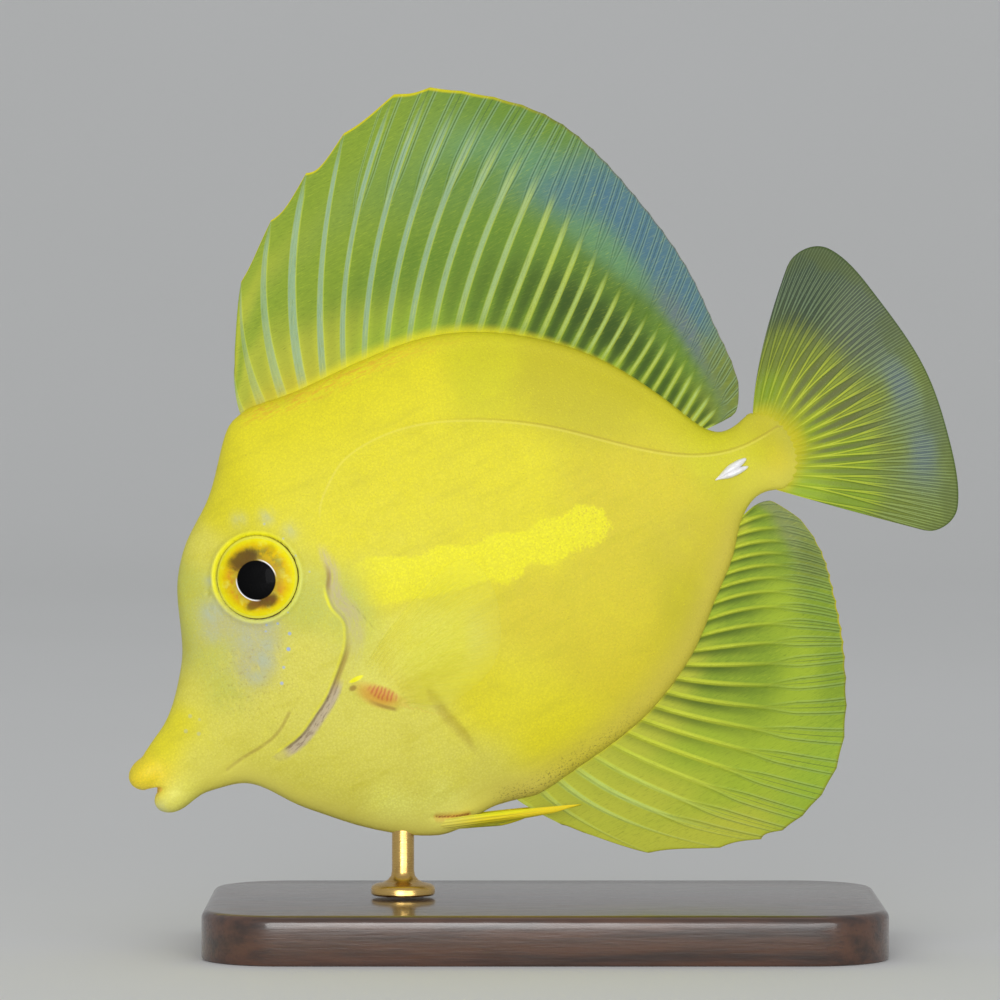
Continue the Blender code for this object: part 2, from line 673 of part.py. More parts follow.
def stand_rod(name, x, top, grow=0.0, sides=20):
    """A turned rod on a round foot, standing on the base."""
    low = BASE_HEIGHT + GAP - grow
    shoulder = low + FLANGE_HEIGHT
    profile = (
        (FLANGE_RADIUS, low), (FLANGE_RADIUS, shoulder - 0.35), (FLANGE_RADIUS - 0.35, shoulder),
        (ROD_RADIUS + grow, shoulder + 0.1), (ROD_RADIUS + grow, top - 0.3 + grow),
        (ROD_RADIUS + grow - 0.3, top + grow),
    )
    rings = []
    for radius, height in profile:
        turns = [2 * math.pi * k / sides for k in range(sides)]
        rings.append([(x + radius * math.cos(a), radius * math.sin(a), height) for a in turns])
    return loft(name, rings)


def paint(made, finish):
    colour, metallic, roughness = COLOURS[finish]
    material = bpy.data.materials.get(finish) or bpy.data.materials.new(finish)
    material.use_nodes = True
    shader = material.node_tree.nodes["Principled BSDF"]
    shader.inputs["Base Color"].default_value = colour
    shader.inputs["Metallic"].default_value = metallic
    shader.inputs["Roughness"].default_value = roughness
    made.data.materials.clear()
    made.data.materials.append(material)
    made.data.shade_smooth()
    made.data.set_sharp_from_angle(angle=math.radians(40))


def make_fish():
    """Every piece of the fish, level and at the origin, with its finish."""
    skin = [make_head(), make_torso(), make_stalk()]
    skin += [gill_plate("gill_cover_left", LEFT), gill_plate("gill_cover_right", RIGHT)]
    fins = [
        median_fin("dorsal_fin", DORSAL_GUIDES, DORSAL_SPINES + DORSAL_RAYS, DORSAL_SPINES, back_line, 1, 0.9, 7),
        median_fin("anal_fin", ANAL_GUIDES, ANAL_SPINES + ANAL_RAYS, ANAL_SPINES, belly_line, -1, 0.7, 6),
        caudal_fin(),
    ]
    paired = [pectoral_fin("pectoral_fin_left", LEFT), pectoral_fin("pectoral_fin_right", RIGHT)]
    paired += [pelvic_fin("pelvic_fin_left", LEFT), pelvic_fin("pelvic_fin_right", RIGHT)]
    eyes = [keep_largest(eyeball("eye_left", LEFT)), keep_largest(eyeball("eye_right", RIGHT))]
    spines = [tail_spine("tail_spine_left", LEFT), tail_spine("tail_spine_right", RIGHT)]
    finishes = {"skin": skin, "fin": fins, "pale fin": paired, "eye": eyes, "spine": spines}
    for finish, pieces in finishes.items():
        for piece in pieces:
            paint(piece, finish)
    return [piece for pieces in finishes.values() for piece in pieces]


def pose_of(pieces):
    """The tilt, and the shift that centres the fish over the origin and lifts it off the base."""
    tilt = Matrix.Rotation(-math.radians(HEAD_DOWN_DEG), 4, "Y")
    points = [tilt @ vertex.co for piece in pieces for vertex in piece.data.vertices]
    middle = (min(p.x for p in points) + max(p.x for p in points)) / 2
    lowest = min(p.z for p in points)
    lift = (BASE_HEIGHT + FIN_CLEARANCE) * MM - lowest
    return Matrix.Translation((-middle, 0, lift)) @ tilt


def build():
    for old in list(bpy.data.objects):
        bpy.data.objects.remove(old)
    fish = make_fish()
    pose = pose_of(fish)
    belly = pose @ (Vector((ROD_ALONG, 0, float(belly_line(ROD_ALONG)[0]))) * MM) / MM
    socket = stand_rod("socket", belly.x, belly.z + ROD_SINK, GAP)
    socket.data.transform(pose.inverted())
    torso = bpy.data.objects["torso"]
    keep_largest(combine(torso, [socket], "DIFFERENCE"))
    paint(torso, "skin")
    paint(stand_base(), "base")
    paint(stand_rod("stand_rod", belly.x, belly.z + ROD_SINK), "rod")
    holder = bpy.data.objects.new("fish_pose", None)
    bpy.context.scene.collection.objects.link(holder)
    holder.matrix_world = pose
    for piece in fish:
        piece.parent = holder


build()
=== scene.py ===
"""The looks of the yellow tang on its display stand, laid out as an add-on and run as a script.

The fish's own level frame, in millimetres, is used throughout: along runs from the snout (0) to
the tail, side is out of the flank (negative is the fish's left) and up is towards the back.
"""

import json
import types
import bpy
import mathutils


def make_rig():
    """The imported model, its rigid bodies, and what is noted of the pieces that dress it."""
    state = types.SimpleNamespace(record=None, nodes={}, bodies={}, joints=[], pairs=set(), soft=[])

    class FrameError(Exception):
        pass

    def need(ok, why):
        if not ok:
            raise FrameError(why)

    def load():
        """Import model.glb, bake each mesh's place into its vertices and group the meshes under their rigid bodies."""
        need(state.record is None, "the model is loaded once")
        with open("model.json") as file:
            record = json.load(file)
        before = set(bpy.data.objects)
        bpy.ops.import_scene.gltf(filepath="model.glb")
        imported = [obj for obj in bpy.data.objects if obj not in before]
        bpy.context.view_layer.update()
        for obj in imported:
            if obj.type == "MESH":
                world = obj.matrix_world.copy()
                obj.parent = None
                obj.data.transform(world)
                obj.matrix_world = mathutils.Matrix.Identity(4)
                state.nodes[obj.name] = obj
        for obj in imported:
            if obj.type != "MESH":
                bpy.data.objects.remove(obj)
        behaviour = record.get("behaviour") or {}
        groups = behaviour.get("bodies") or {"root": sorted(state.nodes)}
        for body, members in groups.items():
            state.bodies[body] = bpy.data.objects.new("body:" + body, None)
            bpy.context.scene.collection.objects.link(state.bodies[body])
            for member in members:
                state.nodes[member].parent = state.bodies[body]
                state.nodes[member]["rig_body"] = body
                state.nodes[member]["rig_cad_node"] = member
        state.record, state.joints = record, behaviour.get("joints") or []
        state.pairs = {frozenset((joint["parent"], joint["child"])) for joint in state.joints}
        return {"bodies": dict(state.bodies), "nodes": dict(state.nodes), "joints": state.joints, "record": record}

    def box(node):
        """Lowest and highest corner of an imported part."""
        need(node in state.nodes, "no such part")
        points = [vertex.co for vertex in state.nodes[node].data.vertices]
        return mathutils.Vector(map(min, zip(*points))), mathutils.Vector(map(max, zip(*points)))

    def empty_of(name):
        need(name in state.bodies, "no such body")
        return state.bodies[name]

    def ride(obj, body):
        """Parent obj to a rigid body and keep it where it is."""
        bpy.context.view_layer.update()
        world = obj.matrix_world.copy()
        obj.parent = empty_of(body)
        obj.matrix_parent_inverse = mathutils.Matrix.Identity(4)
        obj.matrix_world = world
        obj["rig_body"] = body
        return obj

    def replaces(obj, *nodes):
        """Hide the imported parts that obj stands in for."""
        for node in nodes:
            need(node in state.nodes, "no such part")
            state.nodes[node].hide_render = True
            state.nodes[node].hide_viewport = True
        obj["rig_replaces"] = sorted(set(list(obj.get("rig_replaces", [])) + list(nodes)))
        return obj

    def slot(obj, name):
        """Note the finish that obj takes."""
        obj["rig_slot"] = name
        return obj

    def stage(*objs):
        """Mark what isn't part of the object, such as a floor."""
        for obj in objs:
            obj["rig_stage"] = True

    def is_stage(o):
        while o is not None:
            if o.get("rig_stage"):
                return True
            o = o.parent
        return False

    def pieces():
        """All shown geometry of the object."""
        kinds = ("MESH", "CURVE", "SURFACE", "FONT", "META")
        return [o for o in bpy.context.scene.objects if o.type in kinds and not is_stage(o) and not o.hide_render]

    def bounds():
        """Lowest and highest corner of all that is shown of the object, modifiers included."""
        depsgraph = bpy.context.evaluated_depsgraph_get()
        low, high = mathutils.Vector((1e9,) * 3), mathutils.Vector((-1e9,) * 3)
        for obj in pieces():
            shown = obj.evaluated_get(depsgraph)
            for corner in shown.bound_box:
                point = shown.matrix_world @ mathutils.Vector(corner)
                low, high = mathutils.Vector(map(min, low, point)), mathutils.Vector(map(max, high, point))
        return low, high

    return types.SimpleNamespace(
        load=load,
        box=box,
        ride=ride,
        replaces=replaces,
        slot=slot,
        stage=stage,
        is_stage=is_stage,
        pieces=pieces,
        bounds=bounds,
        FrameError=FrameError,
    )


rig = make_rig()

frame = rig.load()

import json
import math

import bmesh
import bpy
import numpy as np
from bpy.props import FloatProperty, FloatVectorProperty, PointerProperty
from bpy.types import Operator, Panel, PropertyGroup
from mathutils import Euler, Matrix, Vector

bl_info = {
    "name": "Yellow Tang",
    "version": (1, 0, 0),
    "blender": (4, 5, 0),
    "location": "3D View > Sidebar > Tang",
    "description": "Skin, fins, eyes and stand of a life-size yellow tang",
    "category": "Object",
}

CAD_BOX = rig.bounds()
SIZE_FILE = "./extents.json"
BODY = "root"
MM = 0.001
LEFT, RIGHT = -1, 1
SIDE_NAMES = {LEFT: "left", RIGHT: "right"}
HEAD_DOWN_DEG = 26.5
ROD_ALONG, ROD_SINK = 24.5, 3.4  # where the rod enters the chest, and how deep

# Trunk: (along, up) of back and belly, half width and pinch of the section
SNOUT_END, STALK_END = 2.9, 80.2
SNOUT_CAP, STALK_CAP = 1.25, 4.0
BACK = (
    (2.4, 1.4), (4.0, 2.35), (6.0, 3.45), (8.0, 5.2), (10.3, 8.0), (11.6, 10.1), (12.6, 12.6),
    (13.9, 16.0), (15.2, 18.2), (17.0, 20.3), (19.4, 22.2), (22.0, 24.2), (24.0, 26.4),
    (26.0, 28.8), (27.6, 30.3), (29.4, 30.8), (34.0, 30.3), (40.0, 30.0), (46.0, 29.8), (51.0, 29.2),
    (56.0, 27.6), (60.0, 25.4), (64.0, 22.4), (67.5, 18.9), (70.0, 15.5), (72.5, 11.1),
    (74.2, 7.9), (75.6, 5.8), (77.6, 4.8), (80.2, 5.4),
)
BELLY = (
    (2.4, -5.9), (4.0, -6.0), (6.2, -5.6), (8.0, -5.8), (10.0, -6.2), (11.6, -6.9), (13.2, -8.5),
    (15.0, -11.0), (17.0, -13.2), (20.0, -16.2), (23.0, -18.7), (26.0, -20.6), (29.0, -21.5),
    (32.0, -21.6), (35.0, -21.5), (39.0, -22.2), (44.0, -21.8), (50.0, -20.9), (55.0, -19.7),
    (60.0, -17.5), (64.0, -14.9), (68.0, -11.3), (71.5, -8.2), (74.0, -5.5), (76.0, -3.9),
    (78.0, -3.4), (80.2, -4.1),
)
HALF_WIDTH = (
    (2.4, 1.9), (4.0, 2.25), (7.0, 2.8), (10.0, 3.4), (14.0, 4.3), (18.0, 5.15), (22.0, 5.9),
    (26.0, 6.5), (30.0, 6.8), (36.0, 6.8), (44.0, 6.3), (52.0, 5.4), (60.0, 4.3), (68.0, 3.0),
    (74.0, 2.2), (78.0, 1.8), (82.0, 1.35), (84.2, 1.1),
)
PINCH = ((2.4, 0.9), (10.0, 0.95), (20.0, 1.05), (36.0, 1.15), (60.0, 1.15), (75.0, 1.0), (84.2, 0.9))
UPPER_LIP = (2.3, 0.0, -0.75), (2.75, 2.3, 1.95)  # centre and half sizes
LOWER_LIP = (3.35, 0.0, -4.4), (2.4, 2.15, 1.7)
NOSTRILS = ((17.2, 14.5, 0.26), (16.8, 13.0, 0.22))

# Lines on the head and flank, as (along, up) in side view
MOUTH_LINE = ((0.6, -2.65), (1.4, -2.8), (2.5, -3.0), (3.4, -3.45))
GILL_EDGE = (
    (30.8, 14.4), (30.4, 12.2), (30.2, 10.4), (29.6, 9.4), (29.2, 8.0), (29.2, 6.6), (29.5, 5.7), (29.6, 4.8),
    (29.3, 3.8), (28.5, 2.4), (27.0, 0.8), (25.5, -0.6), (24.0, -1.9), (22.0, -3.1), (20.0, -4.2),
    (18.0, -4.8), (16.6, -5.0),
)
GROOVE_LINE = ((30.9, 7.2), (31.5, 5.4), (32.0, 3.6), (32.7, 1.4))
CHEEK_LINE = ((20.5, -0.8), (19.5, -1.5), (18.0, -2.6), (16.0, -3.4), (12.0, -3.9), (9.0, -4.6))
BELLY_CREASE = ((34.2, -4.8), (34.6, -7.0), (35.1, -10.0), (35.7, -12.0), (36.1, -16.0), (36.0, -19.0))
LATERAL_LINE = (
    (31.9, 15.4), (32.7, 17.3), (35.0, 19.5), (36.6, 20.6), (40.2, 21.5), (46.0, 21.0), (53.4, 18.0),
    (59.8, 13.9), (64.1, 10.3), (69.2, 6.1), (74.0, 3.3), (78.0, 2.3), (82.6, 2.4),
)
FIN_BASE_LINE = ((27.0, -1.9), (27.9, -3.2), (29.2, -4.8), (30.9, -6.3))
PELVIC_CREASE = ((27.9, -19.1), (30.2, -20.1), (32.8, -21.1))
BAND_TOP = (
    (31.0, 9.2), (33.7, 10.3), (36.7, 9.7), (40.4, 7.9), (42.8, 7.9), (46.6, 6.2), (48.4, 6.5), (52.3, 5.0),
    (54.2, 5.4), (57.0, 4.7), (58.4, 5.1), (60.5, 3.9), (62.0, 2.6),
)
BAND_BOTTOM = (
    (31.0, 5.6), (36.1, 3.9), (40.0, 2.8), (43.0, 2.0), (46.1, 1.5), (49.0, 0.3), (50.8, 1.1), (53.0, 0.0),
    (56.1, 0.1), (58.8, -0.3), (62.0, 1.2),
)

# Small marks on the head, as (along, up, radius, strength)
HAZE_PATCHES = (
    (16.6, 12.3, 1.2, 0.8), (18.0, 15.6, 0.6, 0.6), (15.6, 10.2, 1.0, 0.4), (20.6, 6.2, 1.1, 0.6),
    (19.4, 5.0, 1.2, 0.75), (18.2, 3.9, 1.1, 0.6), (19.0, 8.0, 1.8, 0.4), (22.0, 8.4, 1.0, 0.4),
    (24.0, 20.3, 0.8, 0.45), (27.0, 19.2, 0.9, 0.5), (28.6, 16.6, 0.9, 0.4), (1.4, -5.0, 0.9, 0.6),
)
BLUE_DOTS = (
    (23.5, 6.4, 0.22, 0.8), (22.6, 4.9, 0.25, 1.0), (21.2, 3.3, 0.2, 0.7), (20.2, 1.8, 0.22, 0.8),
    (21.6, 8.4, 0.15, 0.6), (22.8, 8.0, 0.17, 0.7), (21.2, 7.8, 0.14, 0.6), (24.4, 8.6, 0.13, 0.4),
    (28.0, 13.9, 0.15, 0.4), (27.6, 16.2, 0.15, 0.4), (26.4, 18.6, 0.17, 0.4), (28.6, 11.6, 0.13, 0.4),
)
SNOUT_PORES = ((9.2, 3.0, 0.26, 1.0), (8.0, 1.7, 0.26, 1.0), (9.2, 0.8, 0.26, 1.0), (10.0, 2.2, 0.2, 0.8))

# Eye
EYE_ALONG, EYE_UP = 23.0, 13.65
EYE_BULGE, EYE_DEPTH, EYE_SUNK = 1.35, 3.3, 0.35
EYE_RADIUS, EYE_FULLNESS = 4.72, 2.5
SOCKET_RADIUS, SOCKET_DEPTH = 4.7, 3.4
ORBIT_WIDTH, ORBIT_HEIGHT = 0.32, 0.34
IRIS_PATCHES = (  # centre, half sizes and strength
    ((22.6, 16.1), (2.2, 1.3), 0.9),
    ((21.5, 11.05), (1.4, 0.65), 0.75),
    ((23.1, 10.7), (1.3, 0.85), 0.85),
    ((25.6, 15.8), (0.9, 0.7), 0.25),
)

# Fins: guide rays as (ray number, root along, middle, tip)
DORSAL_SPINES, DORSAL_RAYS = 5, 24
DORSAL_GUIDES = (
    (0, 29.3, (30.0, 33.4), (31.6, 36.6)),
    (1, 31.9, (33.0, 37.4), (36.0, 44.1)),
    (2, 34.4, (36.9, 40.3), (42.1, 48.8)),
    (3, 36.9, (41.0, 41.5), (48.0, 51.8)),
    (4, 39.4, (45.1, 42.0), (53.8, 53.9)),
    (5, 41.9, (49.2, 42.8), (60.8, 55.3)),
    (6, 44.4, (52.8, 42.5), (64.8, 54.2)),
    (9, 52.4, (61.7, 39.3), (73.2, 47.8)),
    (12, 59.4, (68.3, 33.9), (77.3, 41.8)),
    (16, 65.8, (73.0, 26.3), (80.0, 33.0)),
    (20, 70.2, (76.2, 18.9), (81.6, 23.4)),
    (24, 73.2, (77.6, 12.7), (81.5, 15.4)),
    (27, 75.0, (78.1, 7.7), (81.1, 9.1)),
    (28, 75.5, (77.9, 5.9), (80.5, 6.1)),
)
ANAL_SPINES, ANAL_RAYS = 3, 20
ANAL_GUIDES = (
    (0, 37.8, (39.9, -25.2), (42.2, -27.7)),
    (1, 40.6, (43.2, -27.4), (48.3, -34.0)),
    (2, 42.9, (47.4, -29.3), (55.8, -37.1)),
    (4, 47.6, (54.0, -29.8), (63.0, -38.5)),
    (7, 54.2, (62.3, -27.6), (71.6, -34.9)),
    (10, 59.8, (68.2, -22.7), (77.1, -26.2)),
    (13, 64.3, (71.9, -16.8), (79.1, -21.0)),
    (17, 69.9, (75.5, -11.2), (80.6, -15.0)),
    (20, 73.2, (77.4, -7.5), (80.9, -10.4)),
    (21, 74.1, (77.6, -5.9), (80.4, -7.9)),
    (22, 74.9, (77.1, -4.2), (78.9, -4.9)),
)
CAUDAL_RAYS = 16
CAUDAL_GUIDES = (  # root as an angle round the stalk's end, in degrees above its axis
    (0, 84.0, (85.7, 11.9), (93.9, 20.3)),
    (1, 72.0, (87.3, 11.5), (96.1, 18.7)),
    (4, 40.0, (90.4, 8.1), (99.1, 11.1)),
    (7.5, 4.0, (92.2, 1.5), (100.4, 1.9)),
    (11, -34.0, (90.7, -4.3), (99.4, -7.0)),
    (14, -68.0, (88.0, -8.7), (96.3, -15.2)),
    (15, -80.0, (86.5, -10.1), (94.4, -17.0)),
)
PECTORAL_RAYS = 13
PECTORAL_ROOT = ((28.3, -1.3), (31.2, -6.0))
PECTORAL_GUIDES = (
    (0, (35.6, 2.8), (44.6, 6.3)),
    (3, (36.6, 1.3), (46.2, 2.9)),
    (6.5, (36.8, -2.6), (45.2, -3.0)),
    (9.5, (35.6, -5.2), (41.8, -7.0)),
    (12, (33.6, -7.3), (37.0, -9.2)),
)
PECTORAL_SPREAD = 8.0
PELVIC_RAYS = 6
PELVIC_GUIDES = (  # ray number, then (along, side, up) of root, middle and tip
    (0, (27.8, 1.6, -19.6), (36.0, 3.0, -22.3), (44.1, 4.4, -25.4)),
    (2, (28.2, 1.5, -20.35), (35.2, 2.85, -22.7), (42.0, 4.15, -25.0)),
    (5, (29.0, 0.85, -21.3), (33.6, 1.7, -22.7), (38.0, 2.5, -24.0)),
)
PELVIC_DROP, PELVIC_SHARE = {LEFT: (0.0, 0.0), RIGHT: (0.6, 1.2)}, {LEFT: 1.0, RIGHT: 0.74}

# Tail spine, folded forward: two strips that part towards the hinge
SPINE_TIP = (73.7, 0.4)
SPINE_ENDS = ((78.0, 1.0), (77.8, 0.12))

# Each fin: its rays, where and how far they split, the grid's columns a ray and rows, the half
# thickness of ridges at root and tip and of the web, the dips of the margin between spines, next
# to the last spine and between soft rays, and its two corners' size in rays and in reach
SPLIT_ONCE_AND_AGAIN = ((0.42, 0.72, 0.24), (0.62, 0.95, 0.12))
SPLIT_ONCE = ((0.48, 0.76, 0.22),)
ALL_FORMS = {  # dorsal, anal, caudal, pectoral and pelvic fin
    "rays": (DORSAL_SPINES + DORSAL_RAYS, ANAL_SPINES + ANAL_RAYS, CAUDAL_RAYS, PECTORAL_RAYS, PELVIC_RAYS),
    "spines": (DORSAL_SPINES, ANAL_SPINES, 0, 0, 1),
    "splits": (
        SPLIT_ONCE, SPLIT_ONCE, ((0.1, 0.6, 0.25), (0.3, 0.85, 0.125), (0.5, 1, 0.0625)), SPLIT_ONCE_AND_AGAIN,
        SPLIT_ONCE_AND_AGAIN
    ),
    "grid": ((17, 76), (20, 76), (28, 88), (18, 64), (24, 100)),
    "half": ((0.34, 0.15, 0.12), (0.34, 0.15, 0.12), (0.34, 0.14, 0.11), (0.2, 0.09, 0.07), (0.22, 0.17, 0.16)),
    "dips": ((1.3, 0.6, 0.1), (1, 0.6, 0.15), (0, 0, 0), (0, 0, 0), (0, 0, 0)),
    "corners": (
        ((1, 0), (1.4, 0.3)), ((1, 0), (1.2, 0.15)), ((1.4, 0.12), (1.4, 0.13)), ((1.5, 0.15), (3, 0.3)),
        ((1, 0), (2, 0.12))
    ),
    "widest": (7, 7, 4, 3, 2),
}
FIN_FORMS = {
    fin: {key: values[i] for key, values in ALL_FORMS.items()}
    for i, fin in enumerate(("dorsal_fin", "anal_fin", "caudal_fin", "pectoral_fin", "pelvic_fin"))
}

# What each fin's material draws: the pale stripe's half width over the rays in two steps, where it ends, the
# painted shade in the valleys between rays over the rays and over the reach, the fine outer lines, root and rim
ALL_LOOKS = {  # dorsal, anal and pelvic fin
    "slant": (13.5, 13.5, 10),
    "stripe": (
        ((2.6, 5, 0.52, 0.33), (6, 20, 0, 0.17)), ((2, 5, 0.42, 0.26), (6, 14, 0, 0.1)),
        ((0, 1, 0.1, 0.1), (0, 1, 0, 0))
    ),
    "stripe_end": ((4, 20, 0, 0.5), (3, 10, 0, 0.2), (0, 1, 0, 0)),
    "stripe_fade": ((1.02, 0.82), (0.95, 0.3), (1.1, 0.7)),
    "stripe_tones": (("mist", "glow"), ("glow", "lime"), ("lemon", "gold")),
    "turn": ((6, 15), (2, 6), (0, 5)),
    "stripe_share": (0.85, 0.95, 0.4),
    "one_sided": (0, 1, 0),
    "valley": ((8, 15, 0.15, 0.8), (4, 9, 0.1, 0.7), (0, 1, 0.05, 0.05)),
    "valley_fade": ((0.55, 0.2), (0.75, 0.2), (1, 0.5)),
    "lines": ((0.5, 0.8), (0.5, 0.8), (0.2, 0.6)),
    "line_share": (0.6, 0.55, 0),
    "middle_share": (0.45, 0.4, 0),
    "pale_share": (0.36, 0.16, 0),
    "striae_share": (0.35, 0.35, 0.12),
    "root": ((0.09, 0.03, 0, 0.88), (0.07, 0.03, 0, 0.75), (0.5, 0.12, 0, 1)),
    "root_tone": ("gold", "gold", "straw"),
    "rim": ("gold", "ochre", "gold"),
    "rim_rays": ((11, 6), (9, 13), (40, 30)),
}
FIN_LOOKS = {
    fin: {key: values[i] for key, values in ALL_LOOKS.items()}
    for i, fin in enumerate(("dorsal_fin", "anal_fin", "pelvic_fin"))
}
FIN_SINK, PELVIC_SINK = 0.9, 1.6  # how far a fin's root runs on into the skin
RIDGE_WIDTH = 0.22
PUPIL_ALONG, PUPIL_UP, PUPIL_LONG, PUPIL_TALL = 22.85, 13.4, 2.14, 2.18
BASE_CORNER, BASE_EDGE, ROD_RADIUS = 9.0, 0.9, 1.25

# Stage, in metres: each light as its name, place, size and power
FLOOR_SIZE, WALL_HEIGHT = 4.0, 2.0
LIGHTS = (
    ("key", (-0.16, -0.95, 0.12), 0.5, 4.5),
    ("fill", (0.36, -0.9, 0.02), 0.6, 3.5),
    ("top", (0.05, 0.1, 0.9), 0.6, 0.35),
)
ROOM_COLOUR, ROOM_LIGHT = (0.95, 0.97, 1.0), 0.52
VIEW_CENTRE = (-0.005, 0.0, 0.05035)
VIEW_DISTANCE, VIEW_WIDTH, VIEW_UP_DEG = 0.7, 0.1126, 1.5


def shade(red, green, blue):
    """A colour for the shaders from its everyday values of 0 to 255."""
    steps = (red / 255, green / 255, blue / 255)
    return tuple(s / 12.92 if s <= 0.04045 else ((s + 0.055) / 1.055) ** 2.4 for s in steps)


TONES = {  # as everyday values of 0 to 255
    "lemon": (246, 240, 24),
    "saffron": (250, 220, 44),
    "gold": (231, 220, 34),
    "wheat": (220, 204, 46),
    "reed": (210, 206, 34),
    "ochre": (198, 188, 40),
    "honey": (208, 194, 52),
    "straw": (223, 216, 94),
    "olive": (196, 200, 90),
    "lilac": (186, 182, 142),
    "orange": (222, 140, 50),
    "sprout": (186, 190, 62),
    "grass": (150, 178, 52),
    "leaf": (130, 156, 44),
    "fern": (106, 139, 44),
    "moss": (90, 120, 32),
    "deep_fin": (58, 82, 28),
    "sea": (106, 150, 104),
    "lagoon": (76, 114, 136),
    "smoke": (104, 118, 126),
    "bog": (118, 132, 54),
    "lime": (204, 214, 66),
    "mist": (152, 182, 150),
    "haze": (92, 100, 84),
    "plum": (96, 98, 66),
    "spring": (160, 182, 50),
    "glow": (186, 210, 116),
    "veil": (240, 240, 120),
    "dusk": (176, 172, 50),
    "dim": (70, 82, 64),
    "steel": (134, 144, 86),
}
TONES = {name: shade(*values) for name, values in TONES.items()}

# Where each tone is set: on the skin by (along, up), on a fin by hundredths of its rays and reach
SKIN_TONES = {
    "saffron": ((2, -1),),
    "gold": ((5, 1), (8, 3), (22, 22), (28, 22), (26, 27), (31, 28), (40, 27), (48, 25), (42, 16), (34, 14),
        (54, 12), (36, 6), (44, 4), (54, 3), (40, -10), (45, -16)),
    # The veil spots at (36.5, -0.5) under the pectoral fin and at (25, -16.5) and (31, -19) on the belly's lower edge
    # are painted light over skin that the lamps leave in shade; the one at (4, -5.2) is the lower lip's pale colour.
    "veil": ((4, -5.2), (36.5, -0.5), (25, -16.5), (31, -19)),
    "straw": ((8, -2), (12, 0), (10.4, 5), (14, -3), (18, 0), (24, 4), (22, 1), (19, 20), (22, -12),
        (28, -14), (34, -17), (31, -8)),
    "olive": ((14, 4), (15, 8), (14, 12), (26, 8), (15, 16), (31, 6)),
    "lilac": ((18, 5), (20, 8), (16, 11)),
    "reed": ((56, 23), (75, 3), (79, 1)),
    "ochre": ((62, 19), (66, 15), (64, -10), (81.8, 3.4)),
    "wheat": ((62, 4), (68, 2), (58, -2), (50, -3), (54, -11), (60, -8), (81.2, -1)),
    "honey": ((68, -4),),
    "dusk": ((84, 2.5), (84, -0.5), (82, -4), (81.5, 6.5)),
}
DORSAL_TONES = {
    "honey": ((2, 6), (9, 6)),
    "sprout": ((2, 40), (2, 80), (9, 20), (15.5, 6), (91, 6)),
    "leaf": ((9, 50), (9, 85), (15.5, 40), (15.5, 90), (22, 80), (43, 6), (85, 30)),
    "grass": ((22, 6), (29, 6), (64, 4)),
    "fern": ((22, 35), (29, 35), (29, 70), (29, 96), (36, 15), (36, 50), (36, 97), (43, 50), (71, 50),
        (78, 45)),
    "sea": ((27, 80), (36, 80), (50, 64), (57, 64)),
    "moss": ((43, 25), (50, 10), (50, 50), (57, 50), (64, 50), (71, 25), (78, 20)),
    "lagoon": ((43, 75), (50, 85), (57, 85), (64, 80), (75, 85)),
    "deep_fin": ((50, 30), (57, 30), (64, 25)),
    "smoke": ((71, 68), (78, 70)),
    "bog": ((85, 75), (91, 35), (91, 85)),
}
ANAL_TONES = {
    "sprout": ((5, 6), (5, 40), (5, 85), (15, 6), (15, 40), (13, 85), (28, 10), (45, 8), (92, 10)),
    "spring": ((28, 40), (28, 70), (45, 75), (62, 8), (62, 60), (78, 6)),
    "grass": ((28, 95),),
    "leaf": ((45, 25), (45, 50), (45, 95), (62, 30), (62, 90), (78, 30), (78, 60), (92, 40)),
    "bog": ((78, 85),),
    "steel": ((86, 70), (94, 80)),
}
CAUDAL_TONES = {
    "sprout": ((10, 3), (90, 3)),
    "ochre": ((50, 3),),
    "leaf": ((10, 16), (50, 14), (70, 40), (92, 45)),
    "grass": ((90, 16),),
    "bog": ((10, 42), (30, 42), (50, 40), (50, 65), (50, 97), (70, 68), (75, 97), (92, 75), (92, 97)),
    "dim": ((12, 68), (6, 95)),
    "haze": ((30, 75), (30, 95)),
    "smoke": ((50, 80), (72, 84)),
}
PECTORAL_TONES = {
    "saffron": ((50, 3),),
    "lemon": ((50, 30), (50, 60)),
    "veil": ((50, 95),),
}
PELVIC_TONES = {
    "wheat": ((10, 10),),
    "lemon": ((5, 50),),
    "saffron": ((5, 90), (25, 40), (30, 80)),
    "ochre": ((60, 40), (60, 80)),
    "sprout": ((85, 30), (85, 80)),
}


def length_property(label, text, value):
    return FloatProperty(name=label, description=text, default=value, min=0.0, unit="LENGTH")


def colour_property(label, text, value):
    return FloatVectorProperty(name=label, description=text, default=value, subtype="COLOR", min=0.0, max=1.0)


class TangSizes(PropertyGroup):
    """Sizes that a user may change"""

    skin_step: length_property("Skin step", "Size of one face of the skin", 0.296 * MM)


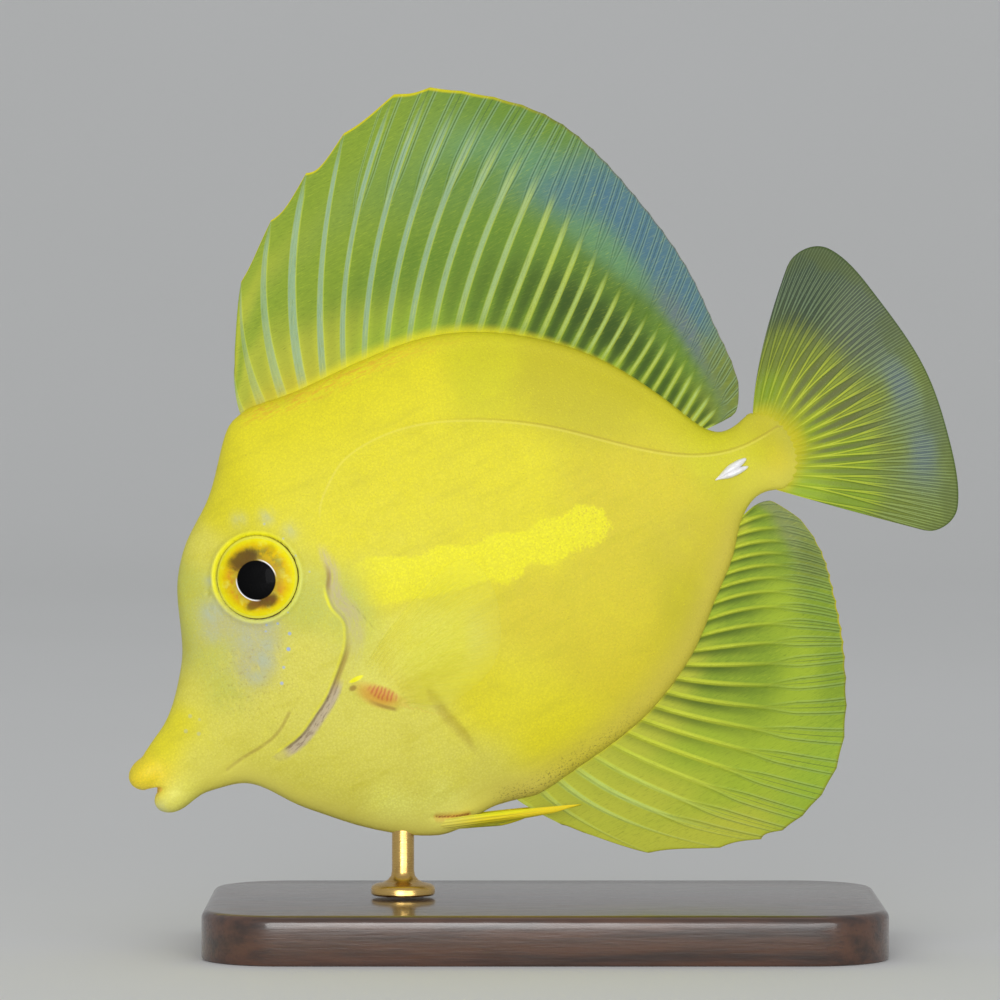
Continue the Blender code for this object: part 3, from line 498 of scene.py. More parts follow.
class TangColours(PropertyGroup):
    """Colours that a user may change"""

    # Lemon is also laid as a painted highlight along the gill cover's edge.
    lemon: colour_property("Lemon", "Brightest yellow of the flank", TONES["lemon"])
    gold: colour_property("Gold", "Warm yellow of the back", TONES["gold"])
    ochre: colour_property("Ochre", "Shaded yellow between scales", TONES["ochre"])
    lilac: colour_property("Lilac", "Bare skin behind the gill cover", shade(192, 174, 150))
    haze: colour_property("Haze", "Bluish bloom on the cheek", shade(180, 190, 166))
    plum: colour_property("Plum", "Webs of the tail fin between its bright rays", TONES["plum"])
    bog: colour_property("Bog", "Margin of the tail fin", shade(94, 106, 56))
    # Deep fin is the webs' darkest green, and is also laid as painted shade in the valleys between fin rays.
    deep_fin: colour_property("Deep fin", "Darkest green of the fin webs", TONES["deep_fin"])
    lime: colour_property("Lime", "Pale stripes of the anal and tail fins", TONES["lime"])
    mist: colour_property("Mist", "Blue-grey of the front dorsal stripes", TONES["mist"])
    glow: colour_property("Glow", "Pale green of the rear dorsal and anal stripes", TONES["glow"])
    # Straw is also laid as painted light along the belly's lower edge.
    straw: colour_property("Straw", "Pale yellow of the cheek and lateral line", shade(236, 226, 104))
    # At the mouth, orange is laid as painted shade in the slit.
    orange: colour_property("Orange", "Flush at mouth, fin roots and back", TONES["orange"])
    rust: colour_property("Rust", "Slit over the pelvic fin", shade(150, 66, 30))
    coral: colour_property("Coral", "Muscle streaks at the pectoral's root", shade(196, 84, 50))
    sky: colour_property("Sky", "Small dots on the cheek", shade(140, 172, 246))
    ink: colour_property("Ink", "Thin dark lines of the outer fins", shade(44, 66, 58))
    umber_pale: colour_property("Pale umber", "Specks and soft shades", shade(150, 112, 52))
    # Umber is also laid as painted shadow under the gill cover's edge, in the groove behind it and in the gap round
    # the eye.
    umber: colour_property("Umber", "Lines of mouth, cheek and eye", shade(92, 66, 34))
    iris: colour_property("Iris", "Gold of the iris", shade(230, 200, 16))
    amber: colour_property("Amber", "Darker streaks of the iris", shade(214, 160, 16))
    pale: colour_property("Pale ring", "Outermost ring of the iris", shade(232, 236, 112))
    white: colour_property("White", "Tail spine and pupil's ring", shade(248, 248, 250))
    black: colour_property("Black", "Pupil", shade(3, 3, 4))
    walnut: colour_property("Wood", "Base", shade(82, 50, 32))
    walnut_dark: colour_property("Dark wood", "Grain of the base", shade(44, 26, 18))
    brass: colour_property("Brass", "Rod", shade(214, 178, 106))
    bronze: colour_property("Tarnish", "Duller patches of the rod", shade(158, 120, 66))
    backdrop: colour_property("Backdrop", "Floor and wall", shade(226, 226, 224))


def blend_tones(across, reach, tones, spread):
    """A soft blend of placed tones, each felt over a spread across and a spread out."""
    total = np.zeros(np.shape(across))
    colours = np.zeros((*np.shape(across), 3))
    for name, spots in tones.items():
        for spot_across, spot_reach in spots:
            away = ((across - spot_across) / spread[0]) ** 2 + ((reach - spot_reach) / spread[1]) ** 2
            weight = 1 / (0.2 + away) ** 2
            total += weight
            colours += weight[..., None] * np.array(TONES[name])
    return colours / total[..., None]


def skin_tones(along, up):
    return blend_tones(along, up, SKIN_TONES, (4.4, 4.4))


def smooth_curve(points):
    """A natural cubic spline through (position, value, ...) points, for arrays of positions."""
    at = np.array([p[0] for p in points], float)
    values = np.array([p[1:] for p in points], float)
    count = len(at)
    gaps = np.diff(at)
    system = np.eye(count)
    wanted = np.zeros_like(values)
    for i in range(1, count - 1):
        system[i, i - 1 : i + 2] = gaps[i - 1], 2 * (gaps[i - 1] + gaps[i]), gaps[i]
        rise = (values[i + 1] - values[i]) / gaps[i]
        wanted[i] = 6 * (rise - (values[i] - values[i - 1]) / gaps[i - 1])
    bends = np.linalg.solve(system, wanted)

    def value(position):
        position = np.asarray(position, float)
        i = np.clip(np.searchsorted(at, position) - 1, 0, count - 2)
        gap = gaps[i][..., None]
        a = (at[i + 1] - position)[..., None] / gap
        b = 1.0 - a
        curve = ((a**3 - a) * bends[i] + (b**3 - b) * bends[i + 1]) * gap**2 / 6
        found = a * values[i] + b * values[i + 1] + curve
        return found[..., 0] if found.shape[-1] == 1 else found

    return value


back_line = smooth_curve(BACK)
belly_line = smooth_curve(BELLY)
width_line = smooth_curve(HALF_WIDTH)
pinch_line = smooth_curve(PINCH)


def section(along, grow=0.0):
    """Middle height, half height, half width and pinch of the trunk's section, grown all round."""
    at = np.clip(along, SNOUT_END, STALK_END)
    top, bottom = back_line(at), belly_line(at)
    cap = np.where(np.asarray(along) < SNOUT_END, SNOUT_CAP, STALK_CAP) + grow
    closing = np.maximum(1.0 - ((along - at) / cap) ** 2, 0.0)
    half_height = ((top - bottom) / 2 + grow) * np.sqrt(closing)
    half_width = (width_line(along) + grow) * closing**0.3
    return (top + bottom) / 2, half_height, half_width, pinch_line(along)


def flank(along, up, grow=0.0):
    """How far the skin lies from the middle plane at places in side view."""
    middle, half_height, half_width, pinch = section(along, grow)
    height = np.minimum(np.abs(up - middle) / half_height, 1.0)
    return half_width * np.sqrt(1.0 - height**2) ** pinch


def flank_normal(along, up, side):
    """The direction that the skin faces at a place on one flank."""
    step = 0.4
    slope_along = (flank(along + step, up) - flank(along - step, up)) / (2 * step)
    slope_up = (flank(along, up + step) - flank(along, up - step)) / (2 * step)
    return Vector((-slope_along, side, -slope_up)).normalized()


def fish_origin():
    """The snout's place, in metres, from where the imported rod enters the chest."""
    low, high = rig.box("stand_rod")
    entry = Vector(((low.x + high.x) / 2, 0, high.z - ROD_SINK * MM))
    return entry - TILT @ Vector((ROD_ALONG, 0, float(belly_line(ROD_ALONG)))) * MM


TILT = Euler((0, -math.radians(HEAD_DOWN_DEG), 0)).to_matrix()
SNOUT = fish_origin()


def to_world(places):
    """Metres in the row frame from millimetres in the fish's frame."""
    return np.asarray(places, float) @ np.array(TILT.transposed()) * MM + np.array(SNOUT)


def eased(low, high, value):
    """0 below low and 1 above high, with a soft start and end. Low may be the higher one."""
    share = np.clip((value - low) / (high - low), 0.0, 1.0)
    return share * share * (3 - 2 * share)


def bump(distance, width):
    return np.exp(-((distance / width) ** 2))


def near_line(line, along, up):
    """Distance to a smooth line through points in side view, signed so that it is positive to the
    left of the way the line runs, and the share of the line's length at the nearest place."""
    ends = np.array(line, float)
    reach = np.concatenate([[0.0], np.cumsum(np.hypot(*np.diff(ends, axis=0).T))])
    curve = smooth_curve([(r, *end) for r, end in zip(reach, ends)])
    stops = np.linspace(0, reach[-1], 6 * len(ends))
    points = curve(stops)
    nearest = np.full(np.shape(along), np.inf)
    signed, share = nearest.copy(), np.zeros(np.shape(along))
    for i in range(len(points) - 1):
        way = points[i + 1] - points[i]
        off_along, off_up = along - points[i][0], up - points[i][1]
        t = np.clip((off_along * way[0] + off_up * way[1]) / (way @ way), 0, 1)
        gap = np.hypot(off_along - t * way[0], off_up - t * way[1])
        closer = gap < nearest
        nearest[closer] = gap[closer]
        turn = np.sign(way[0] * off_up - way[1] * off_along)
        signed[closer] = (gap * turn)[closer]
        share[closer] = ((stops[i] + t * (stops[i + 1] - stops[i])) / reach[-1])[closer]
    return signed, share


def deselect_all():
    for chosen in bpy.context.selected_objects:
        chosen.select_set(False)


def make_active(piece):
    deselect_all()
    piece.select_set(True)
    bpy.context.view_layer.objects.active = piece


def places_of(piece):
    """The mesh's points as an array, in the mesh's own units."""
    found = np.empty(len(piece.data.vertices) * 3)
    piece.data.vertices.foreach_get("co", found)
    return found.reshape(-1, 3)


def set_places(piece, places):
    piece.data.vertices.foreach_set("co", np.ascontiguousarray(places, float).ravel())
    piece.data.update()


def add_field(piece, name, values):
    """Stores one number for each point, which the material reads."""
    field = piece.data.attributes.new(name, "FLOAT", "POINT")
    field.data.foreach_set("value", np.ascontiguousarray(values, np.float32))


def add_paint(piece, name, colours):
    """Stores one colour for each point."""
    rgba = np.ones((len(colours), 4), np.float32)
    rgba[:, :3] = colours
    field = piece.data.attributes.new(name, "FLOAT_COLOR", "POINT")
    field.data.foreach_set("color", rgba.ravel())


def apply_all(piece):
    make_active(piece)
    for modifier in list(piece.modifiers):
        bpy.ops.object.modifier_apply(modifier=modifier.name)


def settle(piece, name, material, slot, replaced):
    """Names a finished piece, gives it its material and sets it on the fish's body."""
    piece.name = piece.data.name = name
    piece.data.materials.clear()
    piece.data.materials.append(material)
    piece.data.shade_smooth()
    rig.ride(piece, BODY)
    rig.slot(piece, slot)
    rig.replaces(piece, *replaced)
    return piece


def trunk_ball():
    """A ball drawn out into the trunk, its poles at the snout and at the end of the tail stalk."""
    bpy.ops.mesh.primitive_uv_sphere_add(segments=96, ring_count=160, radius=1.0)
    trunk = bpy.context.object
    ball = places_of(trunk)
    share = np.arccos(np.clip(ball[:, 2], -1, 1)) / math.pi
    around = np.arctan2(ball[:, 0], ball[:, 1])
    evened = 0.62 * share + 0.38 * (1 - np.cos(math.pi * share)) / 2
    start, end = SNOUT_END - SNOUT_CAP, STALK_END + STALK_CAP
    along = start + (end - start) * evened
    middle, half_height, half_width, pinch = section(along)
    half_width *= 1 - 0.86 * eased(STALK_END - 2.5, end - 0.3, along)
    out = np.copysign(np.abs(np.sin(around)) ** pinch, np.sin(around))
    up = middle + half_height * np.cos(around)
    set_places(trunk, np.stack([along, half_width * out, up], axis=1))
    return trunk


def lip_ball(centre, radii):
    bpy.ops.mesh.primitive_uv_sphere_add(segments=48, ring_count=32, location=centre, scale=radii)
    bpy.ops.object.transform_apply(location=True, rotation=True, scale=True)
    return bpy.context.object


def cast_skin(step):
    """Trunk and lips melted into one even skin, in the fish's frame and millimetres."""
    deselect_all()
    trunk = trunk_ball()
    lips = [lip_ball(*UPPER_LIP), lip_ball(*LOWER_LIP)]
    make_active(trunk)
    for lip in lips:
        lip.select_set(True)
    bpy.ops.object.join()
    melt = trunk.modifiers.new("melt", "REMESH")
    melt.mode = "VOXEL"
    melt.voxel_size = step
    relax = trunk.modifiers.new("relax", "SMOOTH")
    relax.factor = 0.5
    relax.iterations = 5
    apply_all(trunk)
    return trunk


def socket_depth(from_eye):
    """How far the skin falls into the eye's socket, or rises on the ring round it."""
    bowl = SOCKET_DEPTH * np.sqrt(np.maximum(1 - (from_eye / SOCKET_RADIUS) ** 2, 0))
    ring = ORBIT_HEIGHT * bump(from_eye - SOCKET_RADIUS - ORBIT_WIDTH, ORBIT_WIDTH)
    return ring - bowl


def soft_spots(along, up, spots):
    """The strongest of several soft round spots, each as (along, up, radius, strength)."""
    most = np.zeros(np.shape(along))
    for spot_along, spot_up, radius, strength in spots:
        away = np.hypot(along - spot_along, up - spot_up)
        most = np.maximum(most, strength * bump(away, radius))
    return most


def between(low, high, value, soft):
    """1 between two limits, falling to 0 over a soft width outside them."""
    return eased(low - soft, low, value) * eased(high + soft, high, value)


def line_field(skin, name, line, along, up, first=0.1, last=0.1, signed=False):
    """Stores the distance to a line, plain and signed or else growing at the line's ends so that
    what is painted along it dies out there. Gives the distance and how much of the line counts."""
    distance, share = near_line(line, along, up)
    felt = eased(0, first, share) * eased(1, 1 - last, share)
    add_field(skin, name, distance if signed else np.abs(distance) + 1.5 * (1 - felt))
    return distance, felt


def sculpt_skin(skin):
    """Works the head's and flank's relief into the skin, and stores the fields that its finish reads."""
    places = places_of(skin)
    along, side, up = places.T
    skin.data.update()
    normals = np.empty(len(places) * 3)
    skin.data.vertex_normals.foreach_get("vector", normals)
    normals = normals.reshape(-1, 3)
    on_flank = eased(0.25, 0.6, np.abs(normals[:, 1]))
    lift = np.zeros(len(places))

    gill, felt = line_field(skin, "gill", GILL_EDGE, along, up, 0.25, 0.06, signed=True)
    _, share = near_line(GILL_EDGE, along, up)
    cover = 0.18 * eased(0.16, -0.16, gill) * eased(-7.0, -0.4, gill)
    behind = 0.1 * eased(-0.1, 0.2, gill) * eased(2.2, 0.5, gill)
    lift += on_flank * felt * (cover - behind)
    reach = 0.5 + 1.3 * eased(0.0, 0.3, share)
    band = eased(-0.3, 0.3, gill) * eased(reach + 0.8, reach - 0.4, gill)
    band = band * eased(0.64, 0.3, share) * eased(0.0, 0.08, share)
    membrane = between(0.15, 0.9, gill, 0.35) * between(0.66, 0.95, share, 0.07)
    add_field(skin, "lilac", np.maximum(band, membrane * 0.9))
    add_field(skin, "membrane", membrane)
    add_field(skin, "gill_share", share)
    add_field(skin, "haze", soft_spots(along, up, HAZE_PATCHES))

    groove, felt = line_field(skin, "groove", GROOVE_LINE, along, up, 0.2, 0.2)
    lift -= 0.05 * on_flank * felt * bump(groove, 0.2)
    cheek, felt = line_field(skin, "cheek", CHEEK_LINE, along, up, 0.1, 0.1)
    lift -= 0.07 * on_flank * felt * bump(cheek, 0.28)
    crease, felt = line_field(skin, "crease", BELLY_CREASE, along, up, 0.15, 0.5)
    lift += on_flank * felt * (0.12 * bump(crease - 0.9, 0.9) - 0.12 * bump(crease, 0.5))
    pelvic, felt = line_field(skin, "pelvic", PELVIC_CREASE, along, up, 0.2, 0.1)
    lift -= 0.2 * on_flank * felt * bump(pelvic, 0.2)
    lateral, felt = line_field(skin, "lateral", LATERAL_LINE, along, up, 0.06, 0.05, signed=True)
    lift += 0.025 * on_flank * felt * bump(lateral, 0.24)
    root, felt = line_field(skin, "fin_root", FIN_BASE_LINE, along, up, 0.02, 0.02, signed=True)
    lift += 0.26 * on_flank * felt * bump(root - 0.7, 0.9)
    _, share = near_line(FIN_BASE_LINE, along, up)
    add_field(skin, "root_share", share)
    mouth, felt = line_field(skin, "mouth", MOUTH_LINE, along, up, 0.01, 0.45)
    lift -= 0.5 * felt * bump(mouth, 0.26) * (along < 5)

    from_eye = np.hypot(along - EYE_ALONG, up - EYE_UP)
    lift += np.where(np.abs(normals[:, 1]) > 0.3, socket_depth(from_eye), 0)
    for nostril_along, nostril_up, radius in NOSTRILS:
        away = np.hypot(along - nostril_along, up - nostril_up)
        lift += on_flank * (0.1 * bump(away - radius * 1.6, 0.2) - 0.4 * bump(away, radius))
    for line, outwards, first, last in ((back_line, 1, 29.5, 75.2), (belly_line, -1, 39.0, 74.2)):
        below = outwards * (line(along) - up)
        lift += 0.3 * bump(below - 0.3, 1.1) * between(first + 2, last - 3, along, 3.5)
    pelvic = np.hypot((along - 29.8) / 2.8, (up + 21.2) / 1.4)
    lift += 0.45 * bump(pelvic, 1.0) * (up < -10)
    set_places(skin, places + normals * lift[:, None])

    add_field(skin, "from_back", back_line(along) - up)
    add_field(skin, "from_belly", up - belly_line(along))
    top, bottom = smooth_curve(BAND_TOP)(along), smooth_curve(BAND_BOTTOM)(along)
    inside = np.minimum(top - up, (up - bottom) * 0.7)
    add_field(skin, "band", np.minimum(inside, np.minimum((along - 31.6) * 0.6, 61.2 - along)))
    add_paint(skin, "tone", skin_tones(along, up))


def along_ray(root, middle, tip, reach):
    """Points on the parabola through a ray's root, middle and tip."""
    reach = np.asarray(reach)[..., None]
    return (
        root * ((1 - reach) * (1 - 2 * reach))
        + middle * (4 * reach * (1 - reach))
        + tip * (reach * (2 * reach - 1))
    )


def scallop(name, ray, reach, length):
    """Shortens the web between two rays by the fin's dips, so that its margin is scalloped."""
    form = FIN_FORMS[name]
    between_spines, next_to_last, soft = form["dips"]
    gap = np.floor(ray)
    dip = np.where(gap < form["spines"] + 1, next_to_last, soft)
    dip = np.where(gap < form["spines"] - 1, between_spines, dip)
    return reach * (1 - dip * np.sin(math.pi * (ray % 1.0)) / length)


def median_places(name, guides, line, wave):
    """Where the points of the dorsal or anal fin lie, as a function of ray and reach."""
    roots = smooth_curve([(guide[0], guide[1]) for guide in guides])
    middles = smooth_curve([(guide[0], *guide[2]) for guide in guides])
    tips = smooth_curve([(guide[0], *guide[3]) for guide in guides])
    rays = FIN_FORMS[name]["rays"]

    def place(ray, reach):
        foot = roots(ray)
        root = np.stack([foot, line(foot)], axis=-1)
        middle, tip = middles(ray), tips(ray)
        length = np.linalg.norm(tip - root, axis=-1)
        reach = scallop(name, ray, reach, length)
        reach = reach - FIN_SINK * np.minimum(1 - reach, 1) / length
        spot = along_ray(root, middle, tip, reach)
        bow = wave * reach * np.sin(math.pi * (0.3 + 1.5 * ray / rays))
        return np.stack([spot[..., 0], bow, spot[..., 1]], axis=-1)

    return place


def caudal_places():
    angles = smooth_curve([(guide[0], guide[1]) for guide in CAUDAL_GUIDES])
    middles = smooth_curve([(guide[0], *guide[2]) for guide in CAUDAL_GUIDES])
    tips = smooth_curve([(guide[0], *guide[3]) for guide in CAUDAL_GUIDES])
    centre, half_height, _, _ = section(STALK_END)

    def place(ray, reach):
        angle = np.radians(angles(ray))
        low = np.maximum(-np.sin(angle), 0) ** 4
        root = np.stack([
            STALK_END + (STALK_CAP - 1.0) * np.cos(angle) - 1.8 * low,
            centre + (half_height - 1.0) * np.sin(angle) - 0.3 * low,
        ], axis=-1)
        spot = along_ray(root, middles(ray), tips(ray), reach)
        return np.stack([spot[..., 0], -1.4 * reach**2, spot[..., 1]], axis=-1)

    return place


def pectoral_places(side):
    last = PECTORAL_RAYS - 1
    middles = smooth_curve([(guide[0], *guide[1]) for guide in PECTORAL_GUIDES])
    tips = smooth_curve([(guide[0], *guide[2]) for guide in PECTORAL_GUIDES])
    upper, lower = np.array(PECTORAL_ROOT)

    def place(ray, reach):
        root = upper + (lower - upper) * (ray / last)[..., None]
        spot = along_ray(root, middles(ray), tips(ray), reach)
        rise = PECTORAL_SPREAD * (1.15 * reach - 0.15 * reach**2)
        out = flank(root[..., 0], root[..., 1]) - 0.9 + rise
        return np.stack([spot[..., 0], side * out, spot[..., 1]], axis=-1)

    return place


def pelvic_places(side):
    roots, middles, tips = (
        smooth_curve([(guide[0], *guide[k]) for guide in PELVIC_GUIDES]) for k in (1, 2, 3)
    )
    first_drop, last_drop = PELVIC_DROP[side]

    def place(ray, reach):
        root, middle, tip = roots(ray), middles(ray), tips(ray)
        length = np.linalg.norm(tip - root, axis=-1)
        reach = reach * PELVIC_SHARE[side] - PELVIC_SINK * (1 - reach) / length
        spot = along_ray(root, middle, tip, reach)
        drop = np.maximum(reach, 0) * (first_drop + (last_drop - first_drop) * ray / (PELVIC_RAYS - 1))
        return np.stack([spot[..., 0], side * spot[..., 1], spot[..., 2] - drop], axis=-1)

    return place


def branch_distance(ray, reach, spacing, spines, splits):
    """Millimetres to the nearest line of a ray. Soft rays split on their way out."""
    soft = eased(spines - 0.6, spines - 0.4, ray)
    off = np.abs(ray - np.round(ray)) * spacing
    for first, last, spread in splits:
        off = np.abs(off - soft * spread * spacing * eased(first, last, reach))
    return off


def rounded_reach(ray, reach, form):
    """Draws a fin's first and last rays in along a quarter circle, so that its corners are round."""
    for from_end, (width, depth) in zip((ray, form["rays"] - 1 - ray), form["corners"]):
        past = np.clip(1 - from_end / width, 0, 1)
        reach = reach * (1 - depth * (1 - np.sqrt(1 - past**2)))
    return reach


def make_fin(name, place, tones):
    """A fin as one fine sheet with branching ridges, its fields stored for the material."""
    form = FIN_FORMS[name]
    rays, spines, splits = form["rays"], form["spines"], form["splits"]
    across, rows = form["grid"]
    bpy.ops.mesh.primitive_grid_add(x_subdivisions=across * (rays - 1), y_subdivisions=rows, size=1.0)
    fin = bpy.context.object
    square = places_of(fin)
    ray, reach = (square[:, 0] + 0.5) * (rays - 1), square[:, 1] + 0.5
    step = 0.2
    spacing = np.linalg.norm(place(ray + step, reach) - place(ray - step, reach), axis=-1) / (2 * step)
    spacing = np.minimum(spacing, form["widest"])
    off = branch_distance(ray, reach, spacing, spines, splits)
    root_half, tip_half, web_half = form["half"]
    width = RIDGE_WIDTH * (1 - 0.45 * reach)
    ridge = root_half + (tip_half - root_half) * reach - web_half
    ridge = ridge * bump(off, width) * eased(-0.02, 0.1, reach)
    half = (web_half + ridge) * (1 - 0.45 * eased(0.97, 1.0, reach))
    set_places(fin, place(ray, rounded_reach(ray, reach, form)))
    add_field(fin, "ray", ray)
    add_field(fin, "reach", reach)
    add_field(fin, "spacing", spacing)
    add_paint(fin, "tone", blend_tones(100 * ray / rays, 100 * reach, tones, (13, 20)))
    group = fin.vertex_groups.new(name="half")
    most = half.max()
    for i, value in enumerate(half / most):
        group.add([i], value, "REPLACE")
    thicken = fin.modifiers.new("thicken", "SOLIDIFY")
    thicken.thickness = 2 * most
    thicken.offset = 0.0
    thicken.vertex_group = "half"
    apply_all(fin)
    fin.vertex_groups.clear()
    return fin


def eye_frame(side):
    """Where the eye sits and how it is turned: local Z looks out of the head."""
    out = flank_normal(EYE_ALONG, EYE_UP, side)
    surface = Vector((EYE_ALONG, side * flank(EYE_ALONG, EYE_UP), EYE_UP))
    turn = out.to_track_quat("Z", "Y").to_matrix().to_4x4()
    return Matrix.Translation(surface - out * EYE_SUNK) @ turn


def make_eye(side):
    """A glassy eyeball, flat in front with a round edge, the lens standing out over the pupil."""
    bpy.ops.mesh.primitive_uv_sphere_add(segments=96, ring_count=80, radius=1.0)
    eye = bpy.context.object
    ball = places_of(eye)
    from_axis = np.hypot(ball[:, 0], ball[:, 1])
    fuller = np.where(ball[:, 2] > 0, 2 / EYE_FULLNESS, 1.0)
    scale = EYE_RADIUS * from_axis**fuller / np.maximum(from_axis, 1e-6)
    depth = np.where(ball[:, 2] > 0, EYE_BULGE, EYE_DEPTH) * np.sign(ball[:, 2]) * np.abs(ball[:, 2]) ** fuller
    local = np.stack([ball[:, 0] * scale, ball[:, 1] * scale, depth], axis=1)
    place = np.array(eye_frame(side))
    spots = local @ place[:3, :3].T + place[:3, 3]
    across = np.hypot((spots[:, 0] - PUPIL_ALONG) / PUPIL_LONG, (spots[:, 2] - PUPIL_UP) / PUPIL_TALL)
    lens = 0.2 * np.sqrt(np.maximum(1 - (across / 1.05) ** 2, 0)) * (ball[:, 2] > 0)
    set_places(eye, spots + lens[:, None] * place[:3, 2])
    return eye


def spine_strip(side, end, height, proud):
    """One strip of the tail spine, from the shared tip back to its own end."""
    bpy.ops.mesh.primitive_uv_sphere_add(segments=20, ring_count=28, radius=1.0)
    strip = bpy.context.object
    ball = places_of(strip)
    share = np.arccos(np.clip(ball[:, 2], -1, 1)) / math.pi
    round_it = np.arctan2(ball[:, 0], ball[:, 1])
    swell = np.sin(math.pi * share) ** 0.5 * (0.4 + 0.6 * eased(0.0, 0.5, share))
    along = SPINE_TIP[0] + (end[0] - SPINE_TIP[0]) * share
    bend = 0.25 * np.sin(math.pi * share) * np.sign(end[1] - SPINE_TIP[1])
    up = SPINE_TIP[1] + (end[1] - SPINE_TIP[1]) * share**1.2 + bend * 0.3
    out = flank(along, up) + 0.15 + proud * swell * np.sin(round_it)
    set_places(strip, np.stack([along, side * out, up + height * swell * np.cos(round_it)], axis=1))
    return strip


def make_tail_spine(side):
    blade = spine_strip(side, SPINE_ENDS[0], 0.5, 0.9)
    lower = spine_strip(side, SPINE_ENDS[1], 0.42, 0.8)
    make_active(blade)
    lower.select_set(True)
    bpy.ops.object.join()
    return blade


def face_out(piece):
    """Makes a closed mesh's faces point outwards."""
    make_active(piece)
    bpy.ops.object.mode_set(mode="EDIT")
    bpy.ops.mesh.select_all(action="SELECT")
    bpy.ops.mesh.normals_make_consistent(inside=False)
    bpy.ops.object.mode_set(mode="OBJECT")


def stand_up(piece):
    """Moves a finished piece of the fish from its own frame to its place over the stand."""
    set_places(piece, to_world(places_of(piece)))
    face_out(piece)
    return piece


def select_edges(piece, wanted):
    """Selects the edges, in edit mode, whose two ends pass a test."""
    bpy.ops.mesh.select_mode(type="EDGE")
    bpy.ops.mesh.select_all(action="DESELECT")
    shape = bmesh.from_edit_mesh(piece.data)
    for edge in shape.edges:
        edge.select_set(wanted(edge.verts[0].co, edge.verts[1].co))
    bmesh.update_edit_mesh(piece.data)


def make_base(low, high):
    """The slab: round corners, a moulded top edge and a fine chamfer under it."""
    bpy.ops.mesh.primitive_cube_add(size=1.0, location=(low + high) / 2, scale=high - low)
    base = bpy.context.object
    bpy.ops.object.transform_apply(location=True, rotation=True, scale=True)
    bpy.ops.object.mode_set(mode="EDIT")
    select_edges(base, lambda a, b: abs(a.z - b.z) > 1e-4)
    bpy.ops.mesh.bevel(offset=BASE_CORNER * MM, segments=20)
    top = high.z - 1e-5
    select_edges(base, lambda a, b: a.z > top and b.z > top)
    bpy.ops.mesh.bevel(offset=BASE_EDGE * MM, segments=6)
    bottom = low.z + 1e-5
    select_edges(base, lambda a, b: a.z < bottom and b.z < bottom)
    bpy.ops.mesh.bevel(offset=0.3 * MM, segments=2)
    bpy.ops.object.mode_set(mode="OBJECT")
    return base


def make_rod(low, high):
    """The rod and its round foot, drawn up ring by ring from the foot's edge."""
    centre = ((low.x + high.x) / 2, 0.0)
    foot = (high.x - low.x) / 2
    profile = (
        (foot - 0.0002, 0.0), (foot, 0.0002), (foot, 0.0008), (foot - 0.00012, 0.00105),
        (foot - 0.00045, 0.00125), (foot - 0.0012, 0.0014), (ROD_RADIUS * MM + 0.0005, 0.0017),
        (ROD_RADIUS * MM + 0.0001, 0.0022), (ROD_RADIUS * MM, 0.0028),
        (ROD_RADIUS * MM, high.z - low.z - 0.0004), (ROD_RADIUS * MM - 0.0003, high.z - low.z),
    )
    bpy.ops.mesh.primitive_circle_add(
        vertices=64, radius=profile[0][0], fill_type="NGON", location=(*centre, low.z)
    )
    rod = bpy.context.object
    bpy.ops.object.transform_apply(location=True, rotation=True, scale=True)
    bpy.ops.object.mode_set(mode="EDIT")
    bpy.ops.mesh.select_all(action="SELECT")
    for (radius, height), (wider, higher) in zip(profile, profile[1:]):
        bpy.ops.mesh.extrude_region_move(TRANSFORM_OT_translate={"value": (0, 0, higher - height)})
        middle = (*centre, low.z + higher)
        bpy.ops.transform.resize(value=(wider / radius, wider / radius, 1), center_override=middle)
    bpy.ops.object.mode_set(mode="OBJECT")
    face_out(rod)
    return rod


class Value:
    """An output of a material's node. Arithmetic on it adds further nodes."""

    def __init__(self, made, socket):
        self.made, self.socket = made, socket

    def then(self, operation, *others):
        return self.made.sum(operation, self, *others)

    def __add__(self, other):
        return self.then("ADD", other)

    def __sub__(self, other):
        return self.then("SUBTRACT", other)

    def __rsub__(self, other):
        return self.made.sum("SUBTRACT", other, self)

    def __mul__(self, other):
        return self.then("MULTIPLY", other)

    def __truediv__(self, other):
        return self.then("DIVIDE", other)

    def __abs__(self):
        return self.then("ABSOLUTE")

    def __round__(self):
        return self.then("ROUND")

    def most(self, other):
        return self.then("MAXIMUM", other)

    def fraction(self):
        return self.then("FRACT")

    def sine(self):
        return self.then("SINE")

    def fade(self, low, high, least=0.0, most=1.0):
        """Least below low and most above high, with a soft start and end."""
        inputs = {"Value": self, "From Min": low, "From Max": high, "To Min": least, "To Max": most}
        return self.made.add("ShaderNodeMapRange", inputs, interpolation_type="SMOOTHSTEP")

    def line(self, width, strength=1.0):
        """Strength on the line where a distance is 0, and nothing beyond the width."""
        return abs(self).fade(width, width * 0.15, 0.0, strength)


